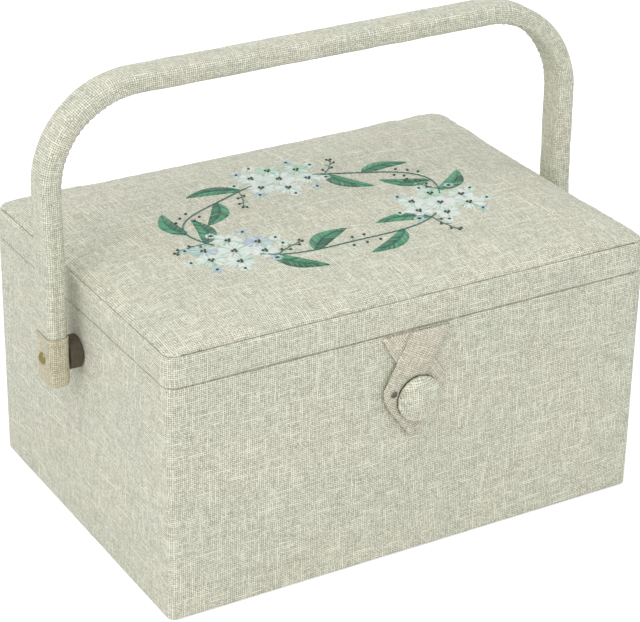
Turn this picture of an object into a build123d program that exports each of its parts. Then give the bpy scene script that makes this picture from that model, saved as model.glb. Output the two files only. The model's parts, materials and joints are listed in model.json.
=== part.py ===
from build123d import *
import math
import os

os.makedirs("parts", exist_ok=True)

# Sewing box covered in linen, in millimetres.
# X is the width, Y runs from the front to the back, Z is up.
# The origin lies on the underside, in the middle of the box body.

# Box body, over the linen
box_width = 320.0
box_depth = 230.0
box_height = 148.0
corner_radius = 5.0
linen = 0.8                  # linen on its paper backing
board = 3.5                  # greyboard of the walls and the base
rim_hem = 10.0               # linen turned down inside the rim
base_hem = 16.0              # linen turned in under the base

# Lining of the body
wall_padding = 5.0           # satin over wadding, which forms the ledge under the tray
floor_padding = 4.0
satin = 0.8                  # plain satin above the ledge
padding_edge = 1.6           # rounding of the padded edges

# Lid
lid_overhang = 0.6           # how far the lid stands out over the body
lid_band = 18.7              # height of the lid's upright band
lid_corner = 8.0
lid_hem = 12.0               # linen turned over the top of the band
lid_inner_hem = 8.0          # linen turned up inside the lid's rim
top_inset = 0.5              # how far the padded top stays behind the band
top_rise = 9.0               # padded top over the band, at the middle
top_bow_x = 3.0              # how much lower the padded top is at its left and right ends
top_bow_y = 3.0              # how much lower it is at its front and back edges
top_edge = 2.6               # rounding of the padded edge
pad_card = 1.5               # card under the foam
pad_card_inset = 2.0         # foam drawn round the edge of that card
lid_lining_card = 2.0

# Pocket, elastic and pincushion on the lid's lining
pocket_width = 176.0
pocket_depth = 88.0
pocket_bulge = 5.0
pocket_place = -48.0         # centre of the pocket, left of the middle
elastic_width = 7.0
elastic_thickness = 2.0
pincushion_width = 72.0
pincushion_depth = 54.0
pincushion_rise = 8.0
pincushion_corner = 13.0
pincushion_slope = 24.0      # lean of its sides, in degrees
pincushion_place = 98.0

# Carrying handle
pivot_drop = 27.0            # rivet centre below the body's rim
handle_rise = 160.5          # rivet centre to the middle of the bar
handle_thickness = 12.0
handle_breadth = 20.0
handle_edge = 4.0
handle_bend = 45.0           # middle line of the two corners
handle_gap = 9.5             # box wall to the inside of the leg
leg_tail = 16.5              # leg below the rivet
core_thickness = 3.0
core_breadth = 13.0
core_edge = 1.0
cap_cloth = 0.6
cap_rise = 31.0              # end cap, from the leg's end to its seam
cap_edge = 3.0

# Rivets of the handle
rivet_shank = 4.0
rivet_head = 7.4
rivet_dome = 2.2
spacer_diameter = 20.0
spacer_edge = 1.0
washer_diameter = 12.0
washer_thickness = 1.0
clinch_diameter = 7.0
clinch_height = 1.0

# Button
button_diameter = 28.0
button_rise = 6.5            # thickness of the button's head
button_rim = 2.2             # height of its upright edge
button_shoulder = 1.5        # rounding between the upright edge and the dome
button_cloth = 0.8
button_place = -1.0          # centre, measured from the middle of the front
button_drop = 43.0           # centre below the rim
button_standoff = 3.6        # wall to the back of the head
stem_diameter = 3.0
collar_diameter = 8.0
button_washer_diameter = 10.0
button_washer_thickness = 1.2

# Closing tab, a crossed loop of folded linen tape
tape = 1.3                   # one layer of the folded tape
tab_place = -2.5             # centre of the loop, measured from the middle of the front
tab_top_half = 23.2          # half width where it leaves the lid
tab_waist_half = 12.7        # half width at the crossing
tab_waist_drop = 19.2
tab_lobe_half = 21.3
tab_lobe_drop = 34.0
tab_lobe_height = 5.4
tab_shoulder_half = 18.4
tab_shoulder_drop = 46.8
tab_tip_half = 2.6
tab_tip_drop = 68.4
tab_strand = 3.8             # edge of the upper strand, left of the loop's middle
tab_ease = 1.0               # between the button's head and the loop
tab_roll = 0.9               # radius of the rolled edge that the tab turns on
tab_gap = 0.4                # wall to the tab

# Cloth hinge along the back
hinge_length = 296.0
hinge_cloth = 0.8
hinge_flap = 17.0
hinge_roll = 0.9

# Ribbons that stop the lid
stay_width = 7.0
stay_thickness = 0.4
stay_forward = 100.0         # anchors in front of the hinge
stay_fold = 58.0             # nearest that the folded ribbon comes to the hinge
stay_below = 7.0             # body anchor below the hinge
stay_above = 8.0             # lid anchor above the hinge

# Lift-out tray
tray_height = 44.0
tray_drop = 14.0             # tray's edge below the rim
tray_wall = 1.8
tray_rib = 1.6
tray_corner = 6.0
tray_foot = 1.2              # rounding of the lower edge
tray_split = 22.0            # long rib behind the middle
tray_rib_drop = 5.0          # rib below the tray's edge
notch_width = 38.0
notch_depth = 10.0
notch_corner = 6.0
divider_thickness = 1.5
divider_drop = 8.0
divider_corner = 5.0
divider_place = 62.0         # dividers left and right of the middle
guide_size = 1.4

# Clearances
seat_gap = 0.3               # between pieces that rest on each other and come apart
turning_fit = 0.05           # radial, rivet in its holes
cloth_ease = 0.4             # radial, rivet through the cloth
tray_side_gap = 1.2

# Heights and places that follow from the sizes above
wall_stack = linen + board
half_width = box_width / 2
half_depth = box_depth / 2
front_face = -half_depth
floor_top = wall_stack + floor_padding
tray_base = box_height - tray_drop - tray_height
ledge_height = tray_base - seat_gap
inner_width = box_width - 2 * wall_stack
inner_depth = box_depth - 2 * wall_stack
lid_bottom = box_height + seat_gap
band_top = lid_bottom + lid_band
lid_width = box_width + 2 * lid_overhang
lid_depth = box_depth + 2 * lid_overhang
lid_inner_width = lid_width - 2 * wall_stack
lid_inner_depth = lid_depth - 2 * wall_stack
lid_board_top = band_top - linen
lid_board_bottom = lid_board_top - board
lid_recess = lid_board_bottom - lid_lining_card
top_width = lid_width - 2 * top_inset
top_depth = lid_depth - 2 * top_inset
leg_x = half_width + handle_gap + handle_thickness / 2
pivot_height = box_height - pivot_drop
bar_height = pivot_height + handle_rise
leg_end = pivot_height - leg_tail
button_height = box_height - button_drop
hinge_y = half_depth + lid_overhang + hinge_roll + seat_gap
hinge_z = box_height + seat_gap / 2

along_x = (0, 90, 0)
along_y = (90, 0, 0)
sides = {"left": -1, "right": 1}


def keep(builder, name):
    """Label a finished piece and write it out."""
    builder.part.label = name
    export_step(builder.part, f"parts/{name}.step")


def drill(centre, turn, radius, length):
    """Cut a round hole, centred on a point, out of the piece being made."""
    with Locations(Location(centre, turn)):
        Cylinder(radius, length, mode=Mode.SUBTRACT)


def dome_middle(radius, rise):
    """Point half way down the side of a dome: its height over the base, and its distance from the axis."""
    ball = (radius**2 + rise**2) / (2 * rise)
    half_turn = math.asin(radius / ball) / 2
    return rise - ball * (1 - math.cos(half_turn)), ball * math.sin(half_turn)


# Greyboard base and walls: front and back run the full width, the sides stand between them
with BuildPart() as base_board:
    with BuildSketch(Plane.XY.offset(linen)):
        RectangleRounded(box_width - 2 * linen, box_depth - 2 * linen, corner_radius - linen)
    extrude(amount=board)
keep(base_board, "base_board")

washer_recess = washer_thickness + clinch_height + 2 * seat_gap
washer_recess_middle = half_width - wall_stack + washer_recess / 2
button_washer_middle = front_face + wall_stack - button_washer_thickness / 2
body_holes = {
    name: [
        ((side * half_width, 0, pivot_height), along_x, rivet_shank / 2 + turning_fit, 4 * wall_stack),
        ((side * washer_recess_middle, 0, pivot_height), along_x, washer_diameter / 2 + seat_gap, washer_recess),
    ]
    for name, side in sides.items()
}
body_holes["front"] = [
    ((button_place, front_face, button_height), along_y, stem_diameter / 2, 4 * wall_stack),
    ((button_place, button_washer_middle, button_height), along_y,
     button_washer_diameter / 2 + seat_gap, button_washer_thickness),
]


def four_boards(name_pattern, low, high, width, depth, radius, holes):
    """Four upright boards, cut from one rounded outline."""
    x, y = width / 2, depth / 2
    places = {
        "front": (0, board / 2 - y, width, board),
        "back": (0, y - board / 2, width, board),
        "left": (board / 2 - x, 0, board, depth - 2 * board),
        "right": (x - board / 2, 0, board, depth - 2 * board),
    }
    for side, (middle_x, middle_y, span_x, span_y) in places.items():
        with BuildPart() as upright:
            with BuildSketch(Plane.XY.offset(low)):
                RectangleRounded(width, depth, radius)
                with Locations((middle_x, middle_y)):
                    Rectangle(span_x, span_y, mode=Mode.INTERSECT)
            extrude(amount=high - low)
            for hole in holes.get(side, []):
                drill(*hole)
        keep(upright, name_pattern.format(side))


four_boards("{}_board", wall_stack, box_height - linen,
            box_width - 2 * linen, box_depth - 2 * linen, corner_radius - linen, body_holes)

# Linen of the body: walls, the hem under the base, the fold over the rim and the hem inside it
with BuildPart() as body_cover:
    with BuildSketch(Plane.XY):
        RectangleRounded(box_width, box_depth, corner_radius)
    extrude(amount=box_height)
    with BuildSketch(Plane.XY.offset(linen)):
        RectangleRounded(box_width - 2 * linen, box_depth - 2 * linen, corner_radius - linen)
    extrude(amount=box_height - 2 * linen, mode=Mode.SUBTRACT)
    with BuildSketch(Plane.XY):
        Rectangle(box_width - 2 * base_hem, box_depth - 2 * base_hem)
    extrude(amount=linen, mode=Mode.SUBTRACT)
    with BuildSketch(Plane.XY.offset(box_height - rim_hem)):
        Rectangle(inner_width, inner_depth)
    extrude(amount=rim_hem)
    with BuildSketch(Plane.XY.offset(box_height - rim_hem)):
        Rectangle(inner_width - 2 * linen, inner_depth - 2 * linen)
    extrude(amount=rim_hem, mode=Mode.SUBTRACT)
    drill((0, 0, pivot_height), along_x, rivet_shank / 2 + cloth_ease, 2 * box_width)
    drill((button_place, front_face, button_height), along_y, stem_diameter / 2, 2 * wall_stack)
keep(body_cover, "body_cover")

with BuildPart() as base_sheet:
    with BuildSketch(Plane.XY):
        Rectangle(box_width - 2 * base_hem, box_depth - 2 * base_hem)
    extrude(amount=linen)
keep(base_sheet, "base_sheet")

# Lining: a padded floor, four padded panels whose tops are the tray's ledge, and plain satin above
with BuildPart() as floor_pad:
    with BuildSketch(Plane.XY.offset(wall_stack)):
        Rectangle(inner_width, inner_depth)
    extrude(amount=floor_padding)
keep(floor_pad, "floor_pad")

panel_x = (inner_width - wall_padding) / 2
panel_y = (inner_depth - wall_padding) / 2
panels = {
    "lining_front": (0, -panel_y, inner_width, wall_padding),
    "lining_back": (0, panel_y, inner_width, wall_padding),
    "lining_left": (-panel_x, 0, wall_padding, inner_depth - 2 * wall_padding),
    "lining_right": (panel_x, 0, wall_padding, inner_depth - 2 * wall_padding),
}
for panel_name, (x, y, width, depth) in panels.items():
    with BuildPart() as panel:
        with BuildSketch(Plane.XY.offset(floor_top)):
            with Locations((x, y)):
                Rectangle(width, depth)
        extrude(amount=ledge_height - floor_top)
        across = Axis.X if x else Axis.Y
        top_edges = panel.faces().sort_by(Axis.Z)[-1].edges().sort_by(across)
        fillet(top_edges[-1] if x + y < 0 else top_edges[0], radius=padding_edge)
    keep(panel, panel_name)

with BuildPart() as rim_lining:
    with BuildSketch(Plane.XY.offset(ledge_height)):
        Rectangle(inner_width, inner_depth)
        Rectangle(inner_width - 2 * satin, inner_depth - 2 * satin, mode=Mode.SUBTRACT)
    extrude(amount=box_height - rim_hem - ledge_height)
keep(rim_lining, "rim_lining")

# Covered button on its stem, which a washer holds inside the front board
head_back = front_face - button_standoff
stem_back = front_face + wall_stack


def domed_head(radius, rim, rise, shoulder):
    """A domed disc standing out to the front, from the plane of the head's back."""
    middle_rise, middle_radius = dome_middle(radius, rise - rim)
    with BuildPart() as head:
        with BuildSketch(Plane.YZ.offset(button_place)) as profile:
            with BuildLine():
                Polyline((head_back - rise, button_height), (head_back, button_height),
                         (head_back, button_height + radius), (head_back - rim, button_height + radius))
                ThreePointArc((head_back - rim, button_height + radius),
                              (head_back - rim - middle_rise, button_height + middle_radius),
                              (head_back - rise, button_height))
            make_face()
            upper_corners = profile.vertices().group_by(Axis.Y)[-1].sort_by(Axis.X)
            fillet(upper_corners[0], radius=shoulder)
        revolve(axis=Axis((button_place, 0, button_height), (0, 1, 0)))
    return head


button_core = domed_head(button_diameter / 2 - button_cloth, button_rim - button_cloth / 2,
                         button_rise - button_cloth, button_shoulder - button_cloth / 2)
keep(button_core, "button_core")

with BuildPart() as button_cover:
    add(domed_head(button_diameter / 2, button_rim, button_rise, button_shoulder).part)
    add(button_core.part, mode=Mode.SUBTRACT)
keep(button_cover, "button_cover")

with BuildPart() as button_stem:
    with BuildSketch(Plane.XZ.offset(-stem_back)):
        with Locations((button_place, button_height)):
            Circle(stem_diameter / 2)
    extrude(amount=stem_back - head_back)
    with BuildSketch(Plane.XZ.offset(-front_face)):
        with Locations((button_place, button_height)):
            Circle(collar_diameter / 2)
    extrude(amount=button_standoff)
keep(button_stem, "button_stem")

with BuildPart() as button_washer:
    with BuildSketch(Plane.XZ.offset(-stem_back)):
        with Locations((button_place, button_height)):
            Circle(button_washer_diameter / 2)
            Circle(stem_diameter / 2, mode=Mode.SUBTRACT)
    extrude(amount=button_washer_thickness)
keep(button_washer, "button_washer")

# Lid box: top board, four upright boards and the linen of the band
with BuildPart() as lid_board:
    with BuildSketch(Plane.XY.offset(lid_board_bottom)):
        RectangleRounded(lid_width - 2 * linen, lid_depth - 2 * linen, lid_corner - linen)
    extrude(amount=board)
keep(lid_board, "lid_board")

four_boards("lid_frame_{}", lid_bottom + linen, lid_board_bottom,
            lid_width - 2 * linen, lid_depth - 2 * linen, lid_corner - linen, {})

with BuildPart() as lid_band_cover:
    with BuildSketch(Plane.XY.offset(lid_bottom)):
        RectangleRounded(lid_width, lid_depth, lid_corner)
    extrude(amount=lid_band)
    with BuildSketch(Plane.XY.offset(lid_bottom + linen)):
        RectangleRounded(lid_width - 2 * linen, lid_depth - 2 * linen, lid_corner - linen)
    extrude(amount=lid_band - 2 * linen, mode=Mode.SUBTRACT)
    with BuildSketch(Plane.XY.offset(lid_board_top)):
        Rectangle(lid_width - 2 * lid_hem, lid_depth - 2 * lid_hem)
    extrude(amount=linen, mode=Mode.SUBTRACT)
    with BuildSketch(Plane.XY.offset(lid_bottom)):
        Rectangle(lid_inner_width, lid_inner_depth)
    extrude(amount=lid_inner_hem)
    with BuildSketch(Plane.XY.offset(lid_bottom)):
        Rectangle(lid_inner_width - 2 * linen, lid_inner_depth - 2 * linen)
    extrude(amount=lid_inner_hem, mode=Mode.SUBTRACT)
keep(lid_band_cover, "lid_band_cover")


# Padded top: a card, a crowned foam pad and the linen drawn over both
def crowned(width, depth, radius, top, edge):
    """A low cushion on the band, whose top bows evenly both ways and has rounded upper edges."""
    arch_radius = ((depth / 2) ** 2 + top_bow_y**2) / (2 * top_bow_y)
    turn = math.asin(depth / 2 / arch_radius) + math.radians(1)
    axle = (0, 0, top - arch_radius)
    with BuildPart() as vault:
        with BuildSketch(Plane(axle, x_dir=(1, 0, 0), z_dir=(0, -math.cos(turn), math.sin(turn)))):
            with BuildLine():
                Polyline((-width / 2, arch_radius - top_bow_x), (-width / 2, arch_radius - 2 * top_rise),
                         (width / 2, arch_radius - 2 * top_rise), (width / 2, arch_radius - top_bow_x))
                ThreePointArc((width / 2, arch_radius - top_bow_x), (0, arch_radius),
                              (-width / 2, arch_radius - top_bow_x))
            make_face()
        revolve(axis=Axis(axle, (1, 0, 0)), revolution_arc=2 * math.degrees(turn))
    with BuildPart() as cushion:
        with BuildSketch(Plane.XY.offset(band_top)):
            RectangleRounded(width, depth, radius)
        extrude(amount=top - band_top)
        add(vault.part, mode=Mode.INTERSECT)
        fillet(cushion.faces().sort_by(Axis.Z)[-1].edges(), radius=edge)
    return cushion


pad_width, pad_depth = top_width - 2 * linen, top_depth - 2 * linen
lid_top = band_top + top_rise
with BuildPart() as lid_pad_card:
    with BuildSketch(Plane.XY.offset(band_top)):
        RectangleRounded(pad_width - 2 * pad_card_inset, pad_depth - 2 * pad_card_inset,
                         lid_corner - linen - pad_card_inset)
    extrude(amount=pad_card)
keep(lid_pad_card, "lid_pad_card")

with BuildPart() as lid_pad:
    add(crowned(pad_width, pad_depth, lid_corner - linen, lid_top - linen, top_edge - linen).part)
    add(lid_pad_card.part, mode=Mode.SUBTRACT)
keep(lid_pad, "lid_pad")

with BuildPart() as lid_top_cover:
    add(crowned(top_width, top_depth, lid_corner, lid_top, top_edge).part)
    add(lid_pad.part, mode=Mode.SUBTRACT)
    add(lid_pad_card.part, mode=Mode.SUBTRACT)
keep(lid_top_cover, "lid_top_cover")

# Inside of the lid: lining card, gathered pocket with its elastic, and a pincushion
with BuildPart() as lid_lining:
    with BuildSketch(Plane.XY.offset(lid_recess)):
        Rectangle(lid_inner_width, lid_inner_depth)
    extrude(amount=lid_lining_card)
keep(lid_lining, "lid_lining")

pocket_mouth = -pocket_depth / 2
with BuildPart() as lid_pocket:
    with BuildSketch(Plane.YZ.offset(pocket_place - pocket_width / 2)):
        with BuildLine():
            Polyline((pocket_depth / 2, lid_recess), (pocket_mouth, lid_recess),
                     (pocket_mouth, lid_recess - elastic_thickness))
            Spline((pocket_mouth, lid_recess - elastic_thickness),
                   (pocket_mouth / 3, lid_recess - pocket_bulge), (pocket_depth / 2, lid_recess))
        make_face()
    extrude(amount=pocket_width)
keep(lid_pocket, "lid_pocket")

with BuildPart() as pocket_elastic:
    with BuildSketch(Plane.XY.offset(lid_recess)):
        with Locations((pocket_place, pocket_mouth - elastic_width / 2)):
            RectangleRounded(pocket_width, elastic_width, elastic_thickness)
    extrude(amount=-elastic_thickness)
keep(pocket_elastic, "pocket_elastic")

with BuildPart() as pincushion:
    with BuildSketch(Plane.XY.offset(lid_recess)):
        with Locations((pincushion_place, 0)):
            RectangleRounded(pincushion_width, pincushion_depth, pincushion_corner)
    extrude(amount=-pincushion_rise, taper=pincushion_slope)
    fillet(pincushion.faces().sort_by(Axis.Z)[0].edges(), radius=pincushion_rise / 2)
keep(pincushion, "pincushion")

# Closing tab: two strands of folded tape cross under the lid's edge and meet in a pointed loop
tab_back = front_face - tab_gap
tab_axis_y = tab_back - tab_roll
tab_axis_z = lid_bottom - seat_gap - tab_roll


def tab_point(half, drop):
    """A point of the tab's outline, from its middle line and the lid's lower edge."""
    return tab_place + half, lid_bottom - drop


top_drop = lid_bottom - tab_axis_z
lobe_low = tab_lobe_drop + tab_lobe_height
lower_left = [
    tab_point(-tab_lobe_half, tab_lobe_drop),
    tab_point(-tab_lobe_half, lobe_low),
    tab_point(-tab_shoulder_half, tab_shoulder_drop),
    tab_point(-tab_tip_half, tab_tip_drop),
]
both_strands = [
    tab_point(-tab_top_half, top_drop),
    tab_point(-tab_waist_half, tab_waist_drop),
    *lower_left,
    tab_point(tab_tip_half, tab_tip_drop),
    tab_point(tab_shoulder_half, tab_shoulder_drop),
    tab_point(tab_lobe_half, lobe_low),
    tab_point(tab_lobe_half, tab_lobe_drop),
    tab_point(tab_waist_half, tab_waist_drop),
    tab_point(tab_top_half, top_drop),
]
upper_strand = [
    tab_point(-tab_strand, top_drop),
    *lower_left,
    tab_point(0, tab_tip_drop),
    tab_point(0, button_drop),
    tab_point(tab_waist_half, tab_waist_drop),
    tab_point(tab_top_half, top_drop),
]
with BuildPart() as tab_loop:
    for outline, back in ((both_strands, tab_back), (upper_strand, tab_back - tape)):
        with BuildSketch(Plane.XZ.offset(-back)):
            with BuildLine():
                Polyline(outline, close=True)
            make_face()
        extrude(amount=tape)
    drill((button_place, tab_back, button_height), along_y, button_diameter / 2 + tab_ease, 6 * tape)
    with Locations(Location((tab_place, tab_axis_y, tab_axis_z), along_x)):
        Cylinder(tab_roll, 2 * tab_top_half)
keep(tab_loop, "tab_loop")

# Cloth hinge: the lower flap ends in a roll on the hinge's axis, the upper flap lies on the lid
hinge_flap_top = hinge_z - hinge_roll
hinge_flap_end = hinge_flap_top - hinge_flap
hinge_start = Plane.YZ.offset(-hinge_length / 2)
with BuildPart() as hinge_cloth_lower:
    with BuildSketch(hinge_start):
        with BuildLine():
            Polyline((half_depth, hinge_flap_top), (half_depth, hinge_flap_end),
                     (half_depth + hinge_cloth, hinge_flap_end),
                     (half_depth + hinge_cloth, hinge_flap_top - hinge_cloth),
                     (hinge_y + hinge_roll / 2, hinge_z - hinge_roll / 2),
                     (hinge_y - hinge_roll / 2, hinge_z), close=True)
        make_face()
        with Locations((hinge_y, hinge_z)):
            Circle(hinge_roll)
    extrude(amount=hinge_length)
keep(hinge_cloth_lower, "hinge_cloth_lower")

with BuildPart() as hinge_cloth_upper:
    with BuildSketch(hinge_start):
        with Locations((half_depth + lid_overhang, hinge_z + hinge_roll + seat_gap)):
            Rectangle(hinge_cloth, hinge_flap, align=(Align.MIN, Align.MIN))
    extrude(amount=hinge_length)
keep(hinge_cloth_upper, "hinge_cloth_upper")

# Ribbons beside the tray, each folded back on itself while the lid is shut
stay_x = inner_width / 2 - satin - seat_gap
stay_end_y = hinge_y - stay_forward
fold_radius = (stay_below + stay_above) / 2
fold_y = hinge_y - stay_fold - fold_radius
stay_low = hinge_z - stay_below
for side_name, side in sides.items():
    with BuildPart() as stay:
        with BuildSketch(Plane.YZ.offset(side * stay_x)):
            with BuildLine():
                Line((stay_end_y, stay_low), (fold_y, stay_low))
                ThreePointArc((fold_y, stay_low), (fold_y + fold_radius, stay_low + fold_radius),
                              (fold_y, stay_low + 2 * fold_radius))
                Line((fold_y, stay_low + 2 * fold_radius), (stay_end_y, stay_low + 2 * fold_radius))
            trace(line_width=stay_width)
        extrude(amount=-side * stay_thickness)
    keep(stay, f"stay_{side_name}")

# Rivets that the handle turns on, with a spacer outside the wall and a washer inside it
washer_outer = half_width - wall_stack + washer_recess - seat_gap
washer_inner = washer_outer - washer_thickness
clinch_end = washer_inner - clinch_height
leg_inner = leg_x - handle_thickness / 2 - cap_cloth
spacer_inner = half_width + seat_gap
spacer_outer = leg_inner - seat_gap
head_seat = leg_x + handle_thickness / 2 + cap_cloth + seat_gap
head_rise, head_middle = dome_middle(rivet_head / 2, rivet_dome)
for side_name, side in sides.items():
    with BuildPart() as rivet:
        with BuildSketch(Plane.XZ):
            with BuildLine():
                Polyline((side * (head_seat + rivet_dome), pivot_height), (side * clinch_end, pivot_height),
                         (side * clinch_end, pivot_height + clinch_diameter / 2),
                         (side * washer_inner, pivot_height + clinch_diameter / 2),
                         (side * washer_inner, pivot_height + rivet_shank / 2),
                         (side * head_seat, pivot_height + rivet_shank / 2),
                         (side * head_seat, pivot_height + rivet_head / 2))
                ThreePointArc((side * head_seat, pivot_height + rivet_head / 2),
                              (side * (head_seat + head_rise), pivot_height + head_middle),
                              (side * (head_seat + rivet_dome), pivot_height))
            make_face()
        revolve(axis=Axis((0, 0, pivot_height), (1, 0, 0)))
    keep(rivet, f"pivot_rivet_{side_name}")

    with BuildPart() as spacer:
        with BuildSketch(Plane.YZ.offset(side * spacer_inner)):
            with Locations((0, pivot_height)):
                Circle(spacer_diameter / 2)
                Circle(rivet_shank / 2, mode=Mode.SUBTRACT)
        extrude(amount=side * (spacer_outer - spacer_inner))
        rims = spacer.edges().filter_by(GeomType.CIRCLE).sort_by(SortBy.RADIUS)[-2:]
        fillet(rims, radius=spacer_edge)
    keep(spacer, f"pivot_spacer_{side_name}")

    with BuildPart() as washer:
        with BuildSketch(Plane.YZ.offset(side * washer_inner)):
            with Locations((0, pivot_height)):
                Circle(washer_diameter / 2)
                Circle(rivet_shank / 2, mode=Mode.SUBTRACT)
        extrude(amount=side * washer_thickness)
    keep(washer, f"pivot_washer_{side_name}")


# Handle: a stiff core, padding and a linen tube, bent over both corners, with a cap on each end
def arch(thickness, breadth, edge, low):
    """A rounded strip that rises from one leg, runs over both bends and comes down the other leg."""
    with BuildPart() as strip:
        with BuildLine(Plane.XZ):
            FilletPolyline((-leg_x, low), (-leg_x, bar_height), (leg_x, bar_height), (leg_x, low),
                           radius=handle_bend)
        with BuildSketch(Plane.XY.offset(low)):
            with Locations((-leg_x, 0)):
                RectangleRounded(thickness, breadth, edge)
        sweep()
    return strip


padding_low = leg_end + 2 * linen
with BuildPart() as handle_core:
    add(arch(core_thickness, core_breadth, core_edge, padding_low).part)
    drill((0, 0, pivot_height), along_x, rivet_shank / 2 + turning_fit, 4 * leg_x)
keep(handle_core, "handle_core")

handle_inside = arch(handle_thickness - 2 * linen, handle_breadth - 2 * linen, handle_edge - linen, padding_low)
with BuildPart() as handle_pad:
    add(handle_inside.part)
    add(handle_core.part, mode=Mode.SUBTRACT)
    drill((0, 0, pivot_height), along_x, rivet_shank / 2 + cloth_ease, 4 * leg_x)
keep(handle_pad, "handle_pad")

handle_outside = arch(handle_thickness, handle_breadth, handle_edge, leg_end)
with BuildPart() as rounded_handle:
    add(handle_outside.part)
    fillet(rounded_handle.faces().group_by(Axis.Z)[0].edges(), radius=cap_edge - cap_cloth)
with BuildPart() as handle_cover:
    add(rounded_handle.part)
    add(handle_inside.part, mode=Mode.SUBTRACT)
    drill((0, 0, pivot_height), along_x, rivet_shank / 2 + cloth_ease, 4 * leg_x)
keep(handle_cover, "handle_cover")

for side_name, side in sides.items():
    with BuildPart() as cap:
        with BuildSketch(Plane.XY.offset(leg_end - cap_cloth)):
            with Locations((side * leg_x, 0)):
                RectangleRounded(handle_thickness + 2 * cap_cloth, handle_breadth + 2 * cap_cloth,
                                 handle_edge + cap_cloth)
        extrude(amount=cap_rise + cap_cloth)
        fillet(cap.faces().sort_by(Axis.Z)[0].edges(), radius=cap_edge)
        add(rounded_handle.part, mode=Mode.SUBTRACT)
        drill((0, 0, pivot_height), along_x, rivet_shank / 2 + cloth_ease, 4 * leg_x)
    keep(cap, f"handle_cap_{side_name}")

# Lift-out tray: a long rib parts the front from the back, where two dividers stand in guides
tray_width = inner_width - 2 * satin - 2 * tray_side_gap
tray_depth = inner_depth - 2 * satin - 2 * tray_side_gap
tray_floor = tray_base + tray_wall
tray_top = tray_base + tray_height
rib_back = tray_split + tray_rib / 2
wall_front = tray_depth / 2 - tray_wall
guide_offset = divider_thickness / 2 + seat_gap + guide_size / 2
guide_places = [
    (divider_side * divider_place + guide_side * guide_offset, y)
    for divider_side in sides.values()
    for guide_side in sides.values()
    for y in (rib_back + guide_size / 2, wall_front - guide_size / 2)
]
with BuildPart() as tray:
    with BuildSketch(Plane.XY.offset(tray_base)):
        RectangleRounded(tray_width, tray_depth, tray_corner)
    extrude(amount=tray_height)
    fillet(tray.faces().sort_by(Axis.Z)[0].edges(), radius=tray_foot)
    with BuildSketch(Plane.XY.offset(tray_floor)):
        RectangleRounded(tray_width - 2 * tray_wall, tray_depth - 2 * tray_wall, tray_corner - tray_wall)
    extrude(amount=tray_height - tray_wall, mode=Mode.SUBTRACT)
    with BuildSketch(Plane.XY.offset(tray_floor)):
        with Locations((0, tray_split)):
            Rectangle(tray_width - 2 * tray_wall, tray_rib)
    extrude(amount=tray_height - tray_wall - tray_rib_drop)
    with BuildSketch(Plane.XY.offset(tray_floor)):
        with Locations(*guide_places):
            Rectangle(guide_size, guide_size)
    extrude(amount=tray_height - tray_wall - divider_drop)
    with BuildSketch(Plane.YZ.offset(-tray_width)):
        with Locations((0, tray_top)):
            RectangleRounded(notch_width, 2 * notch_depth, notch_corner)
    extrude(amount=2 * tray_width, mode=Mode.SUBTRACT)
keep(tray, "tray")

divider_front, divider_back = rib_back + seat_gap, wall_front - seat_gap
divider_top = tray_top - divider_drop
for side_name, side in sides.items():
    with BuildPart() as divider:
        with BuildSketch(Plane.YZ.offset(side * divider_place - divider_thickness / 2)):
            with Locations(((divider_front + divider_back) / 2, (tray_floor + divider_top) / 2)):
                Rectangle(divider_back - divider_front, divider_top - tray_floor)
        extrude(amount=divider_thickness)
        upper_corners = divider.edges().filter_by(Axis.X).group_by(Axis.Z)[-1]
        fillet(upper_corners, radius=divider_corner)
    keep(divider, f"tray_divider_{side_name}")
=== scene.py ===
# %% [markdown]
# A linen-covered sewing box, dressed for a picture. The boards, the rivets and the tray come from the
# measured model, which is loaded here as a fixed frame. Everything that is cloth on the real box is made
# again in this file, because cloth has folds, seams and a weave that a solid doesn't need.
# All lengths are in metres, so one millimetre gets a short name.

# %% The frame and the tools
import json
import math
import random

import bmesh
import bpy
import numpy as np
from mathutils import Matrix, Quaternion, Vector, noise
from mathutils.bvhtree import BVHTree


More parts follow.
